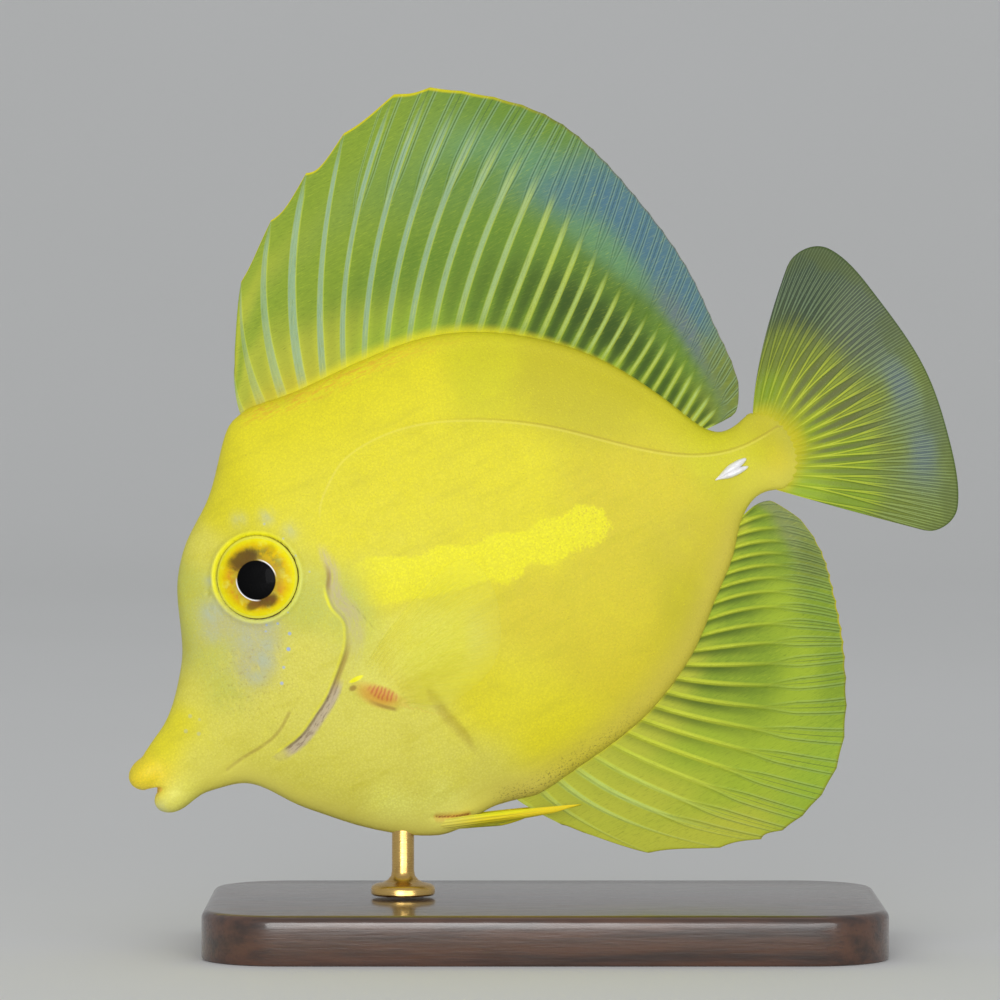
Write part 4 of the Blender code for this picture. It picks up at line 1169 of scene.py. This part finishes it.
class Finish:
    """A material being put together. Its calls take numbers, colours or values, and its colour so
    far is kept for the next layer."""

    def __init__(self, name, colours, **fixed):
        self.material = bpy.data.materials.new(name)
        self.material.use_nodes = True
        self.tree = self.material.node_tree
        self.shader = self.tree.nodes["Principled BSDF"]
        self.colours, self.colour = colours, None
        for socket, value in fixed.items():
            self.feed(self.shader.inputs[socket.replace("_", " ")], value)

    def feed(self, socket, value):
        if isinstance(value, Value):
            self.tree.links.new(value.socket, socket)
        else:
            socket.default_value = value

    def add(self, kind, inputs, output=0, **settings):
        node = self.tree.nodes.new(kind)
        for key, value in settings.items():
            setattr(node, key, value)
        for socket, value in inputs.items():
            self.feed(node.inputs[socket], value)
        return Value(self, node.outputs[output])

    def sum(self, operation, first, second=0.0):
        return self.add("ShaderNodeMath", {0: first, 1: second}, operation=operation)

    def field(self, name, output="Fac"):
        return self.add("ShaderNodeAttribute", {}, output, attribute_name=name)

    def paint(self, name):
        return self.field(name, "Color")

    def mix(self, share, low, high):
        return self.add("ShaderNodeMix", {0: share, 6: low, 7: high}, 2, data_type="RGBA", blend_type="MIX")

    def tone(self, name):
        return (*getattr(self.colours, name), 1.0)

    def tint(self, share, low, name):
        """Paints a tone over a colour by a share."""
        return self.mix(share, low, self.tone(name))

    def lay(self, name, share):
        """Paints a tone over the material's colour so far."""
        self.colour = self.tint(share, self.colour, name)

    def fish_place(self):
        """The point shaded, in millimetres in the fish's frame."""
        spot = self.add("ShaderNodeTexCoord", {}, "Object")
        turn = {"Location": SNOUT, "Rotation": (0, -math.radians(HEAD_DOWN_DEG), 0), "Scale": (MM, MM, MM)}
        return self.add("ShaderNodeMapping", {"Vector": spot, **turn}, vector_type="TEXTURE")

    def add_split(self, place):
        """A point's three coordinates."""
        return [self.add("ShaderNodeSeparateXYZ", {0: place}, axis) for axis in "XYZ"]

    def oval(self, across, up, centre, radii):
        """1 on the edge of an oval, less inside it and more outside."""
        wide, tall = (across - centre[0]) / radii[0], (up - centre[1]) / radii[1]
        return self.sum("SQRT", wide * wide + tall * tall)

    def spot_field(self, across, up, spots):
        """The strongest of several small round spots."""
        most = None
        for spot_across, spot_up, radius, strength in spots:
            spot = self.oval(across, up, (spot_across, spot_up), (radius, radius)).fade(1.2, 0.5, 0.0, strength)
            most = most.most(spot) if most else spot
        return most

    def stretch(self, place, scale):
        return self.add("ShaderNodeVectorMath", {0: place, 1: scale}, operation="MULTIPLY")

    def noise(self, place, scale, detail=3.0, roughness=0.5):
        inputs = {"Vector": place, "Scale": scale, "Detail": detail, "Roughness": roughness}
        return self.add("ShaderNodeTexNoise", inputs, "Fac")

    def cells(self, place, scale):
        return self.add("ShaderNodeTexVoronoi", {"Vector": place, "Scale": scale}, "Distance")

    def relief(self, height, depth, normal=None):
        """Raises the surface by a height from 0 to 1 times a depth in millimetres."""
        inputs = {"Height": height, "Distance": depth * MM, "Strength": 1.0}
        if normal is not None:
            inputs["Normal"] = normal
        return self.add("ShaderNodeBump", inputs)

    def finish(self, roughness=None, normal=None, alpha=None):
        wired = {"Base Color": self.colour, "Roughness": roughness, "Normal": normal, "Alpha": alpha}
        for socket, value in wired.items():
            if value is not None:
                self.feed(self.shader.inputs[socket], value)
        return self.material


def skin_finish(colours):
    made = Finish("tang_skin", colours, Coat_Weight=0.04, Coat_Roughness=0.4, Specular_IOR_Level=0.28)
    place = made.fish_place()
    along, _, up = made.add_split(place)
    made.colour = made.paint("tone")
    mottle = made.noise(place, 0.35, 4)
    made.lay("ochre", mottle.fade(0.5, 0.8, 0, 0.25))
    made.lay("lemon", mottle.fade(0.48, 0.2, 0, 0.15))
    slanted = made.add(
        "ShaderNodeMapping", {"Vector": place, "Rotation": (0, math.radians(34), 0), "Scale": (0.16, 0.5, 1)}
    )
    muscle = made.noise(slanted, 0.75, 3)
    made.lay("ochre", muscle.fade(0.5, 0.75, 0, 0.3))
    bloom = made.noise(place, 1.3, 4, 0.6)
    ragged = (bloom * 1.3 - 0.65) * along.fade(32, 46, 0.4, 1)
    band = (made.field("band") + ragged).fade(-0.1, 0.4)
    net = made.cells(place, 2.6)
    holes = along.fade(42, 58, 0.3, 1) * net.fade(0.38, 0.18)
    rim_holes = made.field("band").fade(0.9, 0) * along.fade(50, 57)
    holes = (holes * 0.8).most(rim_holes * net.fade(0.6, 0.35, 0, 0.9))
    band = band * (1 - holes)
    made.lay("lemon", band * along.fade(31, 37.5, 0, 0.82))
    scales = made.cells(place, 3.6)
    made.lay("ochre", scales.fade(0.2, 0.65, 0, 0.27))
    speckle = made.noise(place, 6.5, 2, 0.7)
    made.lay("umber_pale", speckle.fade(0.58, 0.72, 0, 0.25))
    made.lay("lemon", speckle.fade(0.42, 0.3, 0, 0.3))
    head_marks(made, place, along, up)
    gill_marks(made)
    made.lay("umber_pale", made.field("cheek").line(0.3, 0.45))
    # Painted shade along the belly crease.
    crease = made.field("crease")
    made.lay("umber_pale", crease.line(1, 0.3))
    lateral = made.field("lateral")
    felt = along.fade(31.8, 33) * along.fade(83, 80)
    made.lay("straw", lateral.line(0.2, 0.32) * felt)
    # Painted shade under the raised lateral line, on its rear part.
    under = (lateral - 0.24).line(0.18, 0.3)
    made.lay("umber_pale", under * along.fade(44, 60))
    # Painted shade in the mouth's slit, in orange.
    made.lay("orange", made.field("mouth").line(0.5, 0.55))
    pectoral_root_marks(made, along, up)
    fin_base_marks(made, place, along)
    slit = made.field("pelvic")
    made.lay("orange", slit.fade(0.75, 0.1, 0, 0.4))
    made.lay("rust", slit.fade(0.18, 0.04, 0, 0.8))
    grain = made.relief(scales, 0.014)
    grain = made.relief(speckle, 0.014, grain)
    return made.finish(bloom.fade(0.2, 0.8, 0.46, 0.6), grain)


def head_marks(made, place, along, up):
    """The bluish bloom and dots of the cheek, its fine freckles, and the bright ring of the eye."""
    streaks = made.noise(made.stretch(place, (1.7, 1, 0.7)), 0.8, 4, 0.6)
    made.lay("haze", made.field("haze") * streaks.fade(0.3, 0.6, 0.3, 1))
    cheek = made.oval(along, up, (18, 3), (8, 7.5)).fade(1.1, 0.4)
    freckles = made.noise(place, 2.6, 3, 0.7).fade(0.56, 0.7) * cheek
    made.lay("umber_pale", freckles * 0.3)
    made.lay("straw", streaks.fade(0.5, 0.3) * cheek * 0.25)
    from_eye = made.oval(along, up, (EYE_ALONG, EYE_UP), (1, 1))
    ring = (from_eye - (EYE_RADIUS + 0.18)).line(0.42)
    lean = up - EYE_UP + (along - EYE_ALONG) * -0.35
    made.lay("lemon", ring * lean.fade(-2, 3.5, 0, 0.85))
    made.lay("pale", ring * lean.fade(2, -3, 0, 0.6))
    dots = made.spot_field(along, up, BLUE_DOTS)
    made.lay("sky", dots * 0.75)
    pores = made.spot_field(along, up, SNOUT_PORES)
    made.lay("haze", pores * 0.4)


def gill_marks(made):
    """The gill cover's edge with a painted highlight along it, the bare strip and membrane behind it, and painted
    shade behind the edge and in the groove.
    """
    edge, share = made.field("gill"), made.field("gill_share")
    run = made.add("ShaderNodeCombineXYZ", {0: edge * 2.6, 1: share * 14})
    streaks = made.noise(run, 1.6, 4, 0.65)
    bare = made.field("lilac") * streaks.fade(0.3, 0.6, 0.15, 0.65)
    bare = bare * share.fade(0.32, 0.6, 1, 0.45)
    bare = bare.most(made.field("membrane") * 0.9)
    made.lay("lilac", bare)
    folds = made.field("membrane") * streaks.fade(0.48, 0.66)
    made.lay("umber", folds * 0.55)
    # Painted shade just behind the cover's edge, at two places along it.
    made.lay("umber_pale", (edge - 0.3).line(0.45) * (share - 0.56).line(0.16, 0.6))
    made.lay("umber_pale", (edge - 0.2).line(0.4) * (share - 0.17).line(0.08, 0.6))
    # Painted highlight along the inside of the cover's edge, with a stronger spot a quarter of the way down.
    spot = (share - 0.25).line(0.07, 0.55)
    strength = share.fade(0.2, 0.3, 0, 0.3) + spot
    bright = (edge + 0.22).line(0.25) * strength
    made.lay("lemon", bright)
    # Painted shadow under the cover's edge.
    shadow = (edge - 0.1).line(0.22) * share.fade(0.4, 0.75, 0.14, 0.45)
    shadow = shadow * (share.fade(1, 0.94) * share.fade(0.08, 0.22))
    made.lay("umber", shadow)
    # Painted shade in the groove behind the cover.
    made.lay("umber", made.field("groove").line(0.2, 0.22))


def pectoral_root_marks(made, along, up):
    """The red muscle streaks, the brown line under them and the bright bar at the pectoral's root."""
    root, share = made.field("fin_root"), made.field("root_share")
    patch = made.oval(share, root, (0.54, 0.35), (0.54, 1.35)).fade(1.15, 0.35)
    made.lay("orange", patch * 0.6)
    waver = made.noise(made.fish_place(), 1.5) * 5
    streaks = (share * 76 + waver).sine().fade(-0.4, 0.6, 0.35, 1)
    bars = made.oval(share, root, (0.62, 0.85), (0.36, 0.85)).fade(1.1, 0.6)
    made.lay("coral", bars * streaks * 0.7)
    under = (root + 0.5).line(0.35, 0.6) * share.fade(0.3, 0.7)
    under = under * share.fade(1, 0.9)
    made.lay("umber_pale", under)
    made.lay("umber_pale", made.oval(along, up, (27.1, -2.2), (0.5, 0.36)).fade(1.2, 0.5, 0, 0.7))
    bar = made.oval(along, up, (27.9, -1.45), (0.9, 0.26)).fade(1.15, 0.75)
    made.lay("lemon", bar)


def fin_base_marks(made, place, along):
    """Orange streaks under the front of the dorsal fin, painted light along the belly's lower edge, and brown specks
    along the anal fin.
    """
    back, belly = made.field("from_back"), made.field("from_belly")
    streaks = made.noise(made.stretch(place, (0.5, 2, 2.5)), 1.8, 4, 0.65)
    near = (back - 0.8).line(1.5) * streaks.fade(0.42, 0.66)
    near = near * (along.fade(28, 31) * along.fade(60, 42))
    made.lay("orange", near * 0.45)
    beside = along.fade(34, 38) * along.fade(77, 72)
    # Painted light along the belly's lower edge, where the lamps leave shade.
    painted_belly_light = belly.fade(5, 0) * along.fade(5, 12, 0.3, 0.8)
    painted_belly_light = painted_belly_light * along.fade(46, 38, 0.45, 1)
    made.lay("straw", painted_belly_light)
    made.lay("umber_pale", belly.fade(4.5, 0.5) * beside * 0.22)
    specks = made.noise(place, 4.4, 3, 0.7).fade(0.54, 0.64)
    near = belly.fade(2.8, 0.6) * beside * specks
    made.lay("umber", near * along.fade(60, 42, 0.12, 0.7))


def fin_lines(made, spines, splits):
    """A ray's place on its fin, as the shader's sockets: ray, reach, spacing, the distance to the
    ray's own middle and to the nearest of its branches."""
    ray, reach, spacing = made.field("ray"), made.field("reach"), made.field("spacing")
    near = abs(ray - round(ray))
    near = near * spacing
    soft = ray.fade(spines - 0.6, spines - 0.4) * spacing
    branch = near
    for first, last, spread in splits:
        out = soft * reach.fade(first, last, 0, spread)
        branch = abs(branch - out)
    return ray, reach, spacing, near, branch


def fin_striae(made, place, look):
    """Fine slanting streaks over a fin's web. Gives the streaks."""
    turned = made.add(
        "ShaderNodeMapping",
        {"Vector": place, "Rotation": (0, math.radians(look["slant"]), 0), "Scale": (0.6, 1, 5)}
    )
    striae = made.noise(turned, 2, 4, 0.7)
    made.lay("deep_fin", striae.fade(0.52, 0.72, 0, look["striae_share"]))
    made.lay("lime", striae.fade(0.48, 0.28, 0, 0.25))
    return striae


def fin_finish(name, colours):
    form, look = FIN_FORMS[name], FIN_LOOKS[name]
    made = Finish("tang_" + name, colours, Coat_Weight=0.01, Coat_Roughness=0.4, Specular_IOR_Level=0.1)
    place = made.fish_place()
    ray, reach, spacing, near, branch = fin_lines(made, form["spines"], form["splits"])
    made.colour = made.paint("tone")
    striae = fin_striae(made, place, look)
    # Painted shade in the valleys between the raised rays; on the anal fin it lies only on the side below each ray,
    # away from the light above.
    shade_below_ray = ray.fraction().fade(0.3, 0.8)
    valley = (near / spacing).fade(0.16, 0.42)
    valley = made.mix(look["one_sided"], valley, shade_below_ray)
    valley = valley * (ray.fade(*look["valley"]) * reach.fade(*look["valley_fade"]))
    made.lay("deep_fin", valley)
    grit = made.noise(place, 6, 3, 0.7)
    half = ray.fade(*look["stripe"][0]) - ray.fade(*look["stripe"][1])
    end = reach + ray.fade(*look["stripe_end"])
    inner = end.fade(*look["stripe_fade"])
    over = near - half * inner.fade(0, 0.8, 0.55, 1)
    grown = ray.fade(0.4, 3.4, 0.35, 1) * reach.fade(0.02, 0.16, 0.35, 1)
    stripes = over.fade(0.12, -0.08) * inner * grown
    stripes = stripes * grit.fade(0.25, 0.6, 0.6, look["stripe_share"])
    front, rear = look["stripe_tones"]
    stripe = made.tint(ray.fade(*look["turn"]), made.tone(front), rear)
    patches = made.noise(place, 0.12, 2).fade(0.4, 0.7, 0, 0.6) * ray.fade(*look["turn"], 0.1, 1)
    stripe = made.tint(patches, stripe, "lime")
    run = made.add("ShaderNodeCombineXYZ", {0: ray * 16, 1: reach * 9})
    threads = made.noise(run, 1, 4, 0.65)
    stripe = made.tint(threads.fade(0.54, 0.7, 0, 0.4), stripe, "bog")
    stripe = made.tint(threads.fade(0.46, 0.3, 0, 0.35), stripe, "pale")
    made.colour = made.mix(stripes, made.colour, stripe)
    behind = (ray - round(ray)).fade(0, 0.03, 0.15, 0.4)
    made.lay("lime", (over - 0.05).line(0.12) * inner * behind)
    made.lay("mist", (branch - 0.16).line(0.12) * reach.fade(*look["lines"], 0, look["pale_share"]))
    dark = branch.fade(0.075, 0.02) * reach.fade(*look["lines"], 0, look["line_share"])
    own = near.fade(0.08, 0.025) * reach.fade(*look["lines"], 0, look["middle_share"])
    made.lay("ink", dark.most(own) * ray.fade(form["spines"] - 0.6, form["spines"] + 0.6, 0.15, 1))
    made.lay("deep_fin", grit.fade(0.62, 0.74, 0, 0.35))
    made.lay(look["root_tone"], reach.fade(*look["root"]) * grit.fade(0.3, 0.65, 0.75, 1))
    margin = reach.fade(0.986, 0.996)
    made.lay("umber_pale", margin * 0.25)
    made.lay(look["rim"], margin * ray.fade(*look["rim_rays"], 0, 0.8))
    grain = made.relief(striae, 0.02)
    grain = made.relief(branch.fade(0.2, 0), 0.02, grain)
    return made.finish(0.5, grain)


def caudal_finish(colours):
    """Bright bundles of rays fan out from the root over dusky webs, with a plain margin."""
    form = FIN_FORMS["caudal_fin"]
    made = Finish("tang_caudal_fin", colours, Coat_Weight=0.01, Coat_Roughness=0.4, Specular_IOR_Level=0.1)
    ray, reach, spacing, near, branch = fin_lines(made, form["spines"], form["splits"])
    made.colour = made.paint("tone")
    share = near / spacing
    from_middle = abs(ray - 8.2)
    middle = from_middle.fade(6.5, 2.5, 0.15, 1)
    drift = made.noise(made.fish_place(), 0.3, 3)
    out = reach + (drift * 0.4 - 0.2)
    webs = share.fade(0.2, 0.42) * out.fade(0.75, 0.4) * reach.fade(0.08, 0.24)
    made.lay("plum", webs * (middle * 0.65))
    bundles = share.fade(0.34, 0.12) * (out.fade(0.72, 0.2) * middle)
    made.lay("lime", bundles * 0.32)
    fine = branch.fade(0.12, 0.04) * out.fade(0.8, 0.25, 0.08, 0.55)
    fine = fine * reach.fade(0.06, 0.16)
    made.lay("lime", fine * ray.fade(0, 6, 0.4, 1))
    outer = reach.fade(0.15, 0.45)
    pale = branch.line(0.06) * out.fade(0.5, 0.75)
    made.lay("mist", pale * 0.3)
    dark = (branch - 0.13).line(0.07) * outer
    made.lay("ink", dark * 0.4)
    grit = made.noise(made.fish_place(), 6, 3, 0.7)
    made.lay("deep_fin", grit.fade(0.58, 0.72, 0, 0.4))
    made.lay("mist", grit.fade(0.42, 0.28, 0, 0.25))
    made.lay("bog", out.fade(0.88, 1, 0, 0.5))
    made.lay("deep_fin", reach.fade(0.985, 0.997, 0, 0.4))
    root = reach.fade(0.14, 0.01) * grit.fade(0.3, 0.65, 0.6, 0.95)
    made.lay("ochre", root)
    return made.finish(0.5, made.relief(branch.fade(0.16, 0), 0.02))


def pectoral_finish(colours):
    """A pale veil over the flank: its rays show faintly and its root is clear."""
    made = Finish("tang_pectoral", colours, Coat_Weight=0, Specular_IOR_Level=0.15)
    form = FIN_FORMS["pectoral_fin"]
    _, reach, _, _, branch = fin_lines(made, form["spines"], form["splits"])
    lines = branch.fade(0.16, 0.04)
    clear = reach.fade(0.1, 0.45, 0.04, 0.17) + lines * 0.05
    clear = clear * reach.fade(1, 0.75, 0.25, 1)
    made.colour = made.paint("tone")
    return made.finish(0.5, alpha=clear)


def eye_finish(colours):
    """Golden iris with brown patches over and under the pupil, behind a clear wet front."""
    made = Finish(
        "tang_eye", colours, Roughness=0.45, Specular_IOR_Level=0.05, Coat_Weight=0.05,
        Coat_Roughness=0.03, Coat_IOR=1.34,
    )
    across, _, height = made.add_split(made.fish_place())
    along, up = across - EYE_ALONG, height - EYE_UP
    out = made.oval(along, up, (0, 0), (1, 1))
    pupil = made.oval(across, height, (PUPIL_ALONG, PUPIL_UP), (PUPIL_LONG, PUPIL_TALL))
    spokes = made.add("ShaderNodeCombineXYZ", {0: along / out * 3, 1: up / out * 3, 2: out * 0.5})
    streaks = made.noise(spokes, 2.2, 5, 0.65)
    clouds = made.noise(made.fish_place(), 0.9, 3, 0.6)
    made.colour = made.tone("iris")
    made.lay("amber", streaks.fade(0.42, 0.75, 0, 0.6))
    made.lay("pale", clouds.fade(0.5, 0.7, 0, 0.4))
    ring = abs(out - 2.8).fade(0.9, 0.2)
    corner = along + up
    made.lay("orange", ring * clouds.fade(0.56, 0.4) * corner.fade(1.5, -1.5, 0.06, 0.7))
    made.lay("bog", ring * clouds.fade(0.4, 0.56) * corner.fade(1.5, 3.5, 0, 0.5))
    made.lay("lemon", out.fade(3.5, 4.3, 0, 0.7))
    made.lay("pale", out.fade(4.25, 4.45, 0, 0.5))
    made.lay("umber_pale", pupil.fade(1.6, 1.05, 0, 0.5))
    ragged = streaks * 0.8 - 0.4
    for centre, radii, strength in IRIS_PATCHES:
        patch = made.oval(across, height, centre, radii) + ragged
        made.lay("umber", patch.fade(1.15, 0.5, 0, strength))
    lean = along * 0.9 + up * 0.35
    made.lay("white", pupil.fade(1.1, 1.05) * abs(lean).fade(1.4, 1.95))
    made.lay("black", pupil.fade(1.04, 0.99))
    # Painted shade in the gap round the eyeball, heavier on its lower rear side.
    low = along * 0.6 - up
    made.lay("umber", out.fade(4.56, 4.64) * low.fade(-3, 3, 0.35, 1))
    return made.finish(None, made.relief(streaks, 0.03))


def spine_finish(colours):
    made = Finish("tang_spine", colours, Coat_Weight=0.5, Coat_Roughness=0.15)
    streaks = made.noise(made.stretch(made.fish_place(), (0.6, 3, 5)), 1.5)
    made.colour = made.tone("white")
    made.lay("lilac", streaks.fade(0.4, 0.8, 0, 0.4))
    return made.finish(0.3, made.relief(streaks, 0.04))


def base_finish(colours):
    """Dark varnished hardwood, its grain along the slab."""
    made = Finish("stand_base", colours, Coat_Weight=0.8, Coat_Roughness=0.12)
    place = made.add("ShaderNodeTexCoord", {}, "Object")
    grain = made.noise(made.stretch(place, (18, 220, 220)), 3, 8, 0.6)
    pores = made.noise(made.stretch(place, (60, 900, 900)), 4, 4, 0.6)
    made.colour = made.tone("walnut")
    made.lay("walnut_dark", grain.fade(0.35, 0.7))
    made.lay("walnut_dark", pores.fade(0.55, 0.75, 0, 0.6))
    return made.finish(pores.fade(0.3, 0.8, 0.3, 0.5), made.relief(pores, 0.03))


def rod_finish(colours):
    """Brushed brass, its turning marks round the rod."""
    made = Finish("stand_rod", colours, Metallic=1)
    place = made.add("ShaderNodeTexCoord", {}, "Object")
    rings = made.noise(made.stretch(place, (200, 200, 9000)), 1, 4, 0.6)
    tarnish = made.noise(place, 250, 4)
    made.colour = made.tone("brass")
    made.lay("bronze", tarnish.fade(0.45, 0.8, 0, 0.5))
    return made.finish(rings.fade(0.3, 0.7, 0.2, 0.34), made.relief(rings, 0.008))


def backdrop_finish(colours):
    made = Finish("backdrop", colours, Roughness=0.9)
    place = made.add("ShaderNodeTexCoord", {}, "Object")
    mottle = made.noise(place, 3, 4)
    made.colour = made.tone("backdrop")
    made.lay("white", mottle.fade(0.3, 0.7, 0, 0.08))
    return made.finish()


class TangOperator:
    """What the operators share."""

    bl_options = {"REGISTER", "UNDO"}

    @property
    def sizes(self):
        return bpy.context.scene.tang_sizes

    @property
    def colours(self):
        return bpy.context.scene.tang_colours


class TANG_OT_skin(TangOperator, Operator):
    """Casts the skin of head, trunk and tail stalk in one piece"""

    bl_idname = "tang.skin"
    bl_label = "Skin"

    def execute(self, context):
        skin = cast_skin(self.sizes.skin_step / MM)
        sculpt_skin(skin)
        stand_up(skin)
        nodes = ("head", "torso", "tail_stalk", "gill_cover_left", "gill_cover_right")
        settle(skin, "skin", skin_finish(self.colours), "torso", nodes)
        return {"FINISHED"}


class TANG_OT_median_fins(TangOperator, Operator):
    """Makes the dorsal, anal and tail fins"""

    bl_idname = "tang.median_fins"
    bl_label = "Dorsal, anal and tail fins"

    def execute(self, context):
        dorsal = median_places("dorsal_fin", DORSAL_GUIDES, back_line, 0.9)
        anal = median_places("anal_fin", ANAL_GUIDES, belly_line, 0.7)
        fins = (
            ("dorsal_fin", dorsal, DORSAL_TONES, fin_finish("dorsal_fin", self.colours)),
            ("anal_fin", anal, ANAL_TONES, fin_finish("anal_fin", self.colours)),
            ("caudal_fin", caudal_places(), CAUDAL_TONES, caudal_finish(self.colours)),
        )
        for name, place, tones, finish in fins:
            settle(stand_up(make_fin(name, place, tones)), name, finish, name, [name])
        return {"FINISHED"}


class TANG_OT_paired_fins(TangOperator, Operator):
    """Makes the pectoral and pelvic fins of both sides"""

    bl_idname = "tang.paired_fins"
    bl_label = "Pectoral and pelvic fins"

    def execute(self, context):
        makers = (
            ("pectoral_fin", pectoral_places, PECTORAL_TONES, pectoral_finish(self.colours)),
            ("pelvic_fin", pelvic_places, PELVIC_TONES, fin_finish("pelvic_fin", self.colours)),
        )
        for kind, places, tones, finish in makers:
            for side, word in SIDE_NAMES.items():
                name = kind + "_" + word
                settle(stand_up(make_fin(kind, places(side), tones)), name, finish, name, [name])
        return {"FINISHED"}


class TANG_OT_eyes(TangOperator, Operator):
    """Makes both eyes"""

    bl_idname = "tang.eyes"
    bl_label = "Eyes"

    def execute(self, context):
        glass = eye_finish(self.colours)
        for side, word in SIDE_NAMES.items():
            settle(stand_up(make_eye(side)), "eye_" + word, glass, "eye_" + word, ["eye_" + word])
        return {"FINISHED"}


class TANG_OT_tail_spines(TangOperator, Operator):
    """Makes the folded blade on either side of the tail stalk"""

    bl_idname = "tang.tail_spines"
    bl_label = "Tail spines"

    def execute(self, context):
        white = spine_finish(self.colours)
        for side, word in SIDE_NAMES.items():
            name = "tail_spine_" + word
            settle(stand_up(make_tail_spine(side)), name, white, name, [name])
        return {"FINISHED"}


class TANG_OT_stand(TangOperator, Operator):
    """Makes the varnished base and the turned rod"""

    bl_idname = "tang.stand"
    bl_label = "Stand"

    def execute(self, context):
        makers = {"stand_base": (make_base, base_finish), "stand_rod": (make_rod, rod_finish)}
        for name, (make, finish) in makers.items():
            piece = settle(make(*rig.box(name)), name + "_turned", finish(self.colours), name, [name])
            make_active(piece)
            bpy.ops.object.shade_smooth_by_angle(angle=math.radians(35))
        return {"FINISHED"}


class TANG_OT_stage(TangOperator, Operator):
    """Sets up the pale backdrop, the soft lights and the camera"""

    bl_idname = "tang.stage"
    bl_label = "Stage"

    def execute(self, context):
        make_backdrop(self.colours)
        set_lights(context.scene)
        set_camera(context.scene)
        return {"FINISHED"}


class VIEW3D_PT_tang(Panel):
    """Lists the pieces of the fish and its stage"""

    bl_label = "Yellow Tang"
    bl_space_type = "VIEW_3D"
    bl_region_type = "UI"
    bl_category = "Tang"

    def draw(self, context):
        for operator in PIECE_OPERATORS:
            self.layout.operator(operator.bl_idname)
        for settings in (context.scene.tang_sizes, context.scene.tang_colours):
            column = self.layout.column()
            for name in settings.bl_rna.properties.keys():
                if name not in {"rna_type", "name"}:
                    column.prop(settings, name)


def make_backdrop(colours):
    """One sheet that is the floor and, past a wide curve, the wall."""
    bpy.ops.mesh.primitive_plane_add(size=FLOOR_SIZE, location=(0, 0, 0))
    sheet = bpy.context.object
    bpy.ops.object.mode_set(mode="EDIT")
    rear = FLOOR_SIZE / 2 - 0.001
    select_edges(sheet, lambda a, b: a.y > rear and b.y > rear)
    bpy.ops.mesh.extrude_region_move(TRANSFORM_OT_translate={"value": (0, 0, WALL_HEIGHT)})
    select_edges(sheet, lambda a, b: a.y > rear and b.y > rear and a.z < 0.01 and b.z < 0.01)
    bpy.ops.mesh.bevel(offset=FLOOR_SIZE / 4, segments=24)
    bpy.ops.mesh.select_all(action="SELECT")
    bpy.ops.mesh.normals_make_consistent(inside=False)
    bpy.ops.object.mode_set(mode="OBJECT")
    sheet.name = "backdrop"
    sheet.data.materials.append(backdrop_finish(colours))
    sheet.data.shade_smooth()
    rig.stage(sheet)


def aim(made, spot, target):
    made.location = spot
    made.rotation_euler = (Vector(target) - Vector(spot)).to_track_quat("-Z", "Y").to_euler()


def set_lights(scene):
    for name, spot, size, power in LIGHTS:
        lamp = bpy.data.lights.new(name, "AREA")
        lamp.shape = "DISK"
        lamp.size = size
        lamp.energy = power
        made = bpy.data.objects.new(name, lamp)
        scene.collection.objects.link(made)
        aim(made, spot, VIEW_CENTRE)
    world = bpy.data.worlds.new("room")
    world.use_nodes = True
    world.node_tree.nodes["Background"].inputs["Color"].default_value = (*ROOM_COLOUR, 1.0)
    world.node_tree.nodes["Background"].inputs["Strength"].default_value = ROOM_LIGHT
    scene.world = world
    scene.view_settings.view_transform = "Standard"


def set_camera(scene):
    eye = bpy.data.cameras.new("camera")
    eye.sensor_width = 36.0
    eye.lens = eye.sensor_width * VIEW_DISTANCE / VIEW_WIDTH
    camera = bpy.data.objects.new("camera", eye)
    scene.collection.objects.link(camera)
    lift = math.radians(VIEW_UP_DEG)
    back = Vector((0, -math.cos(lift), math.sin(lift))) * VIEW_DISTANCE
    aim(camera, Vector(VIEW_CENTRE) + back, VIEW_CENTRE)
    scene.camera = camera


PIECE_OPERATORS = (
    TANG_OT_skin, TANG_OT_median_fins, TANG_OT_paired_fins, TANG_OT_eyes, TANG_OT_tail_spines,
    TANG_OT_stand, TANG_OT_stage,
)
CLASSES = (TangSizes, TangColours, *PIECE_OPERATORS, VIEW3D_PT_tang)


def register():
    for kind in CLASSES:
        bpy.utils.register_class(kind)
    bpy.types.Scene.tang_sizes = PointerProperty(type=TangSizes)
    bpy.types.Scene.tang_colours = PointerProperty(type=TangColours)


def unregister():
    del bpy.types.Scene.tang_colours
    del bpy.types.Scene.tang_sizes
    for kind in reversed(CLASSES):
        bpy.utils.unregister_class(kind)


def main():
    register()
    for operator in PIECE_OPERATORS:
        getattr(bpy.ops.tang, operator.bl_idname.split(".")[1])()
    boxes = {"cad": CAD_BOX, "visual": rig.bounds()}
    with open(SIZE_FILE, "w") as written:
        json.dump({name: [list(corner) for corner in box] for name, box in boxes.items()}, written)


if __name__ == "__main__":
    main()
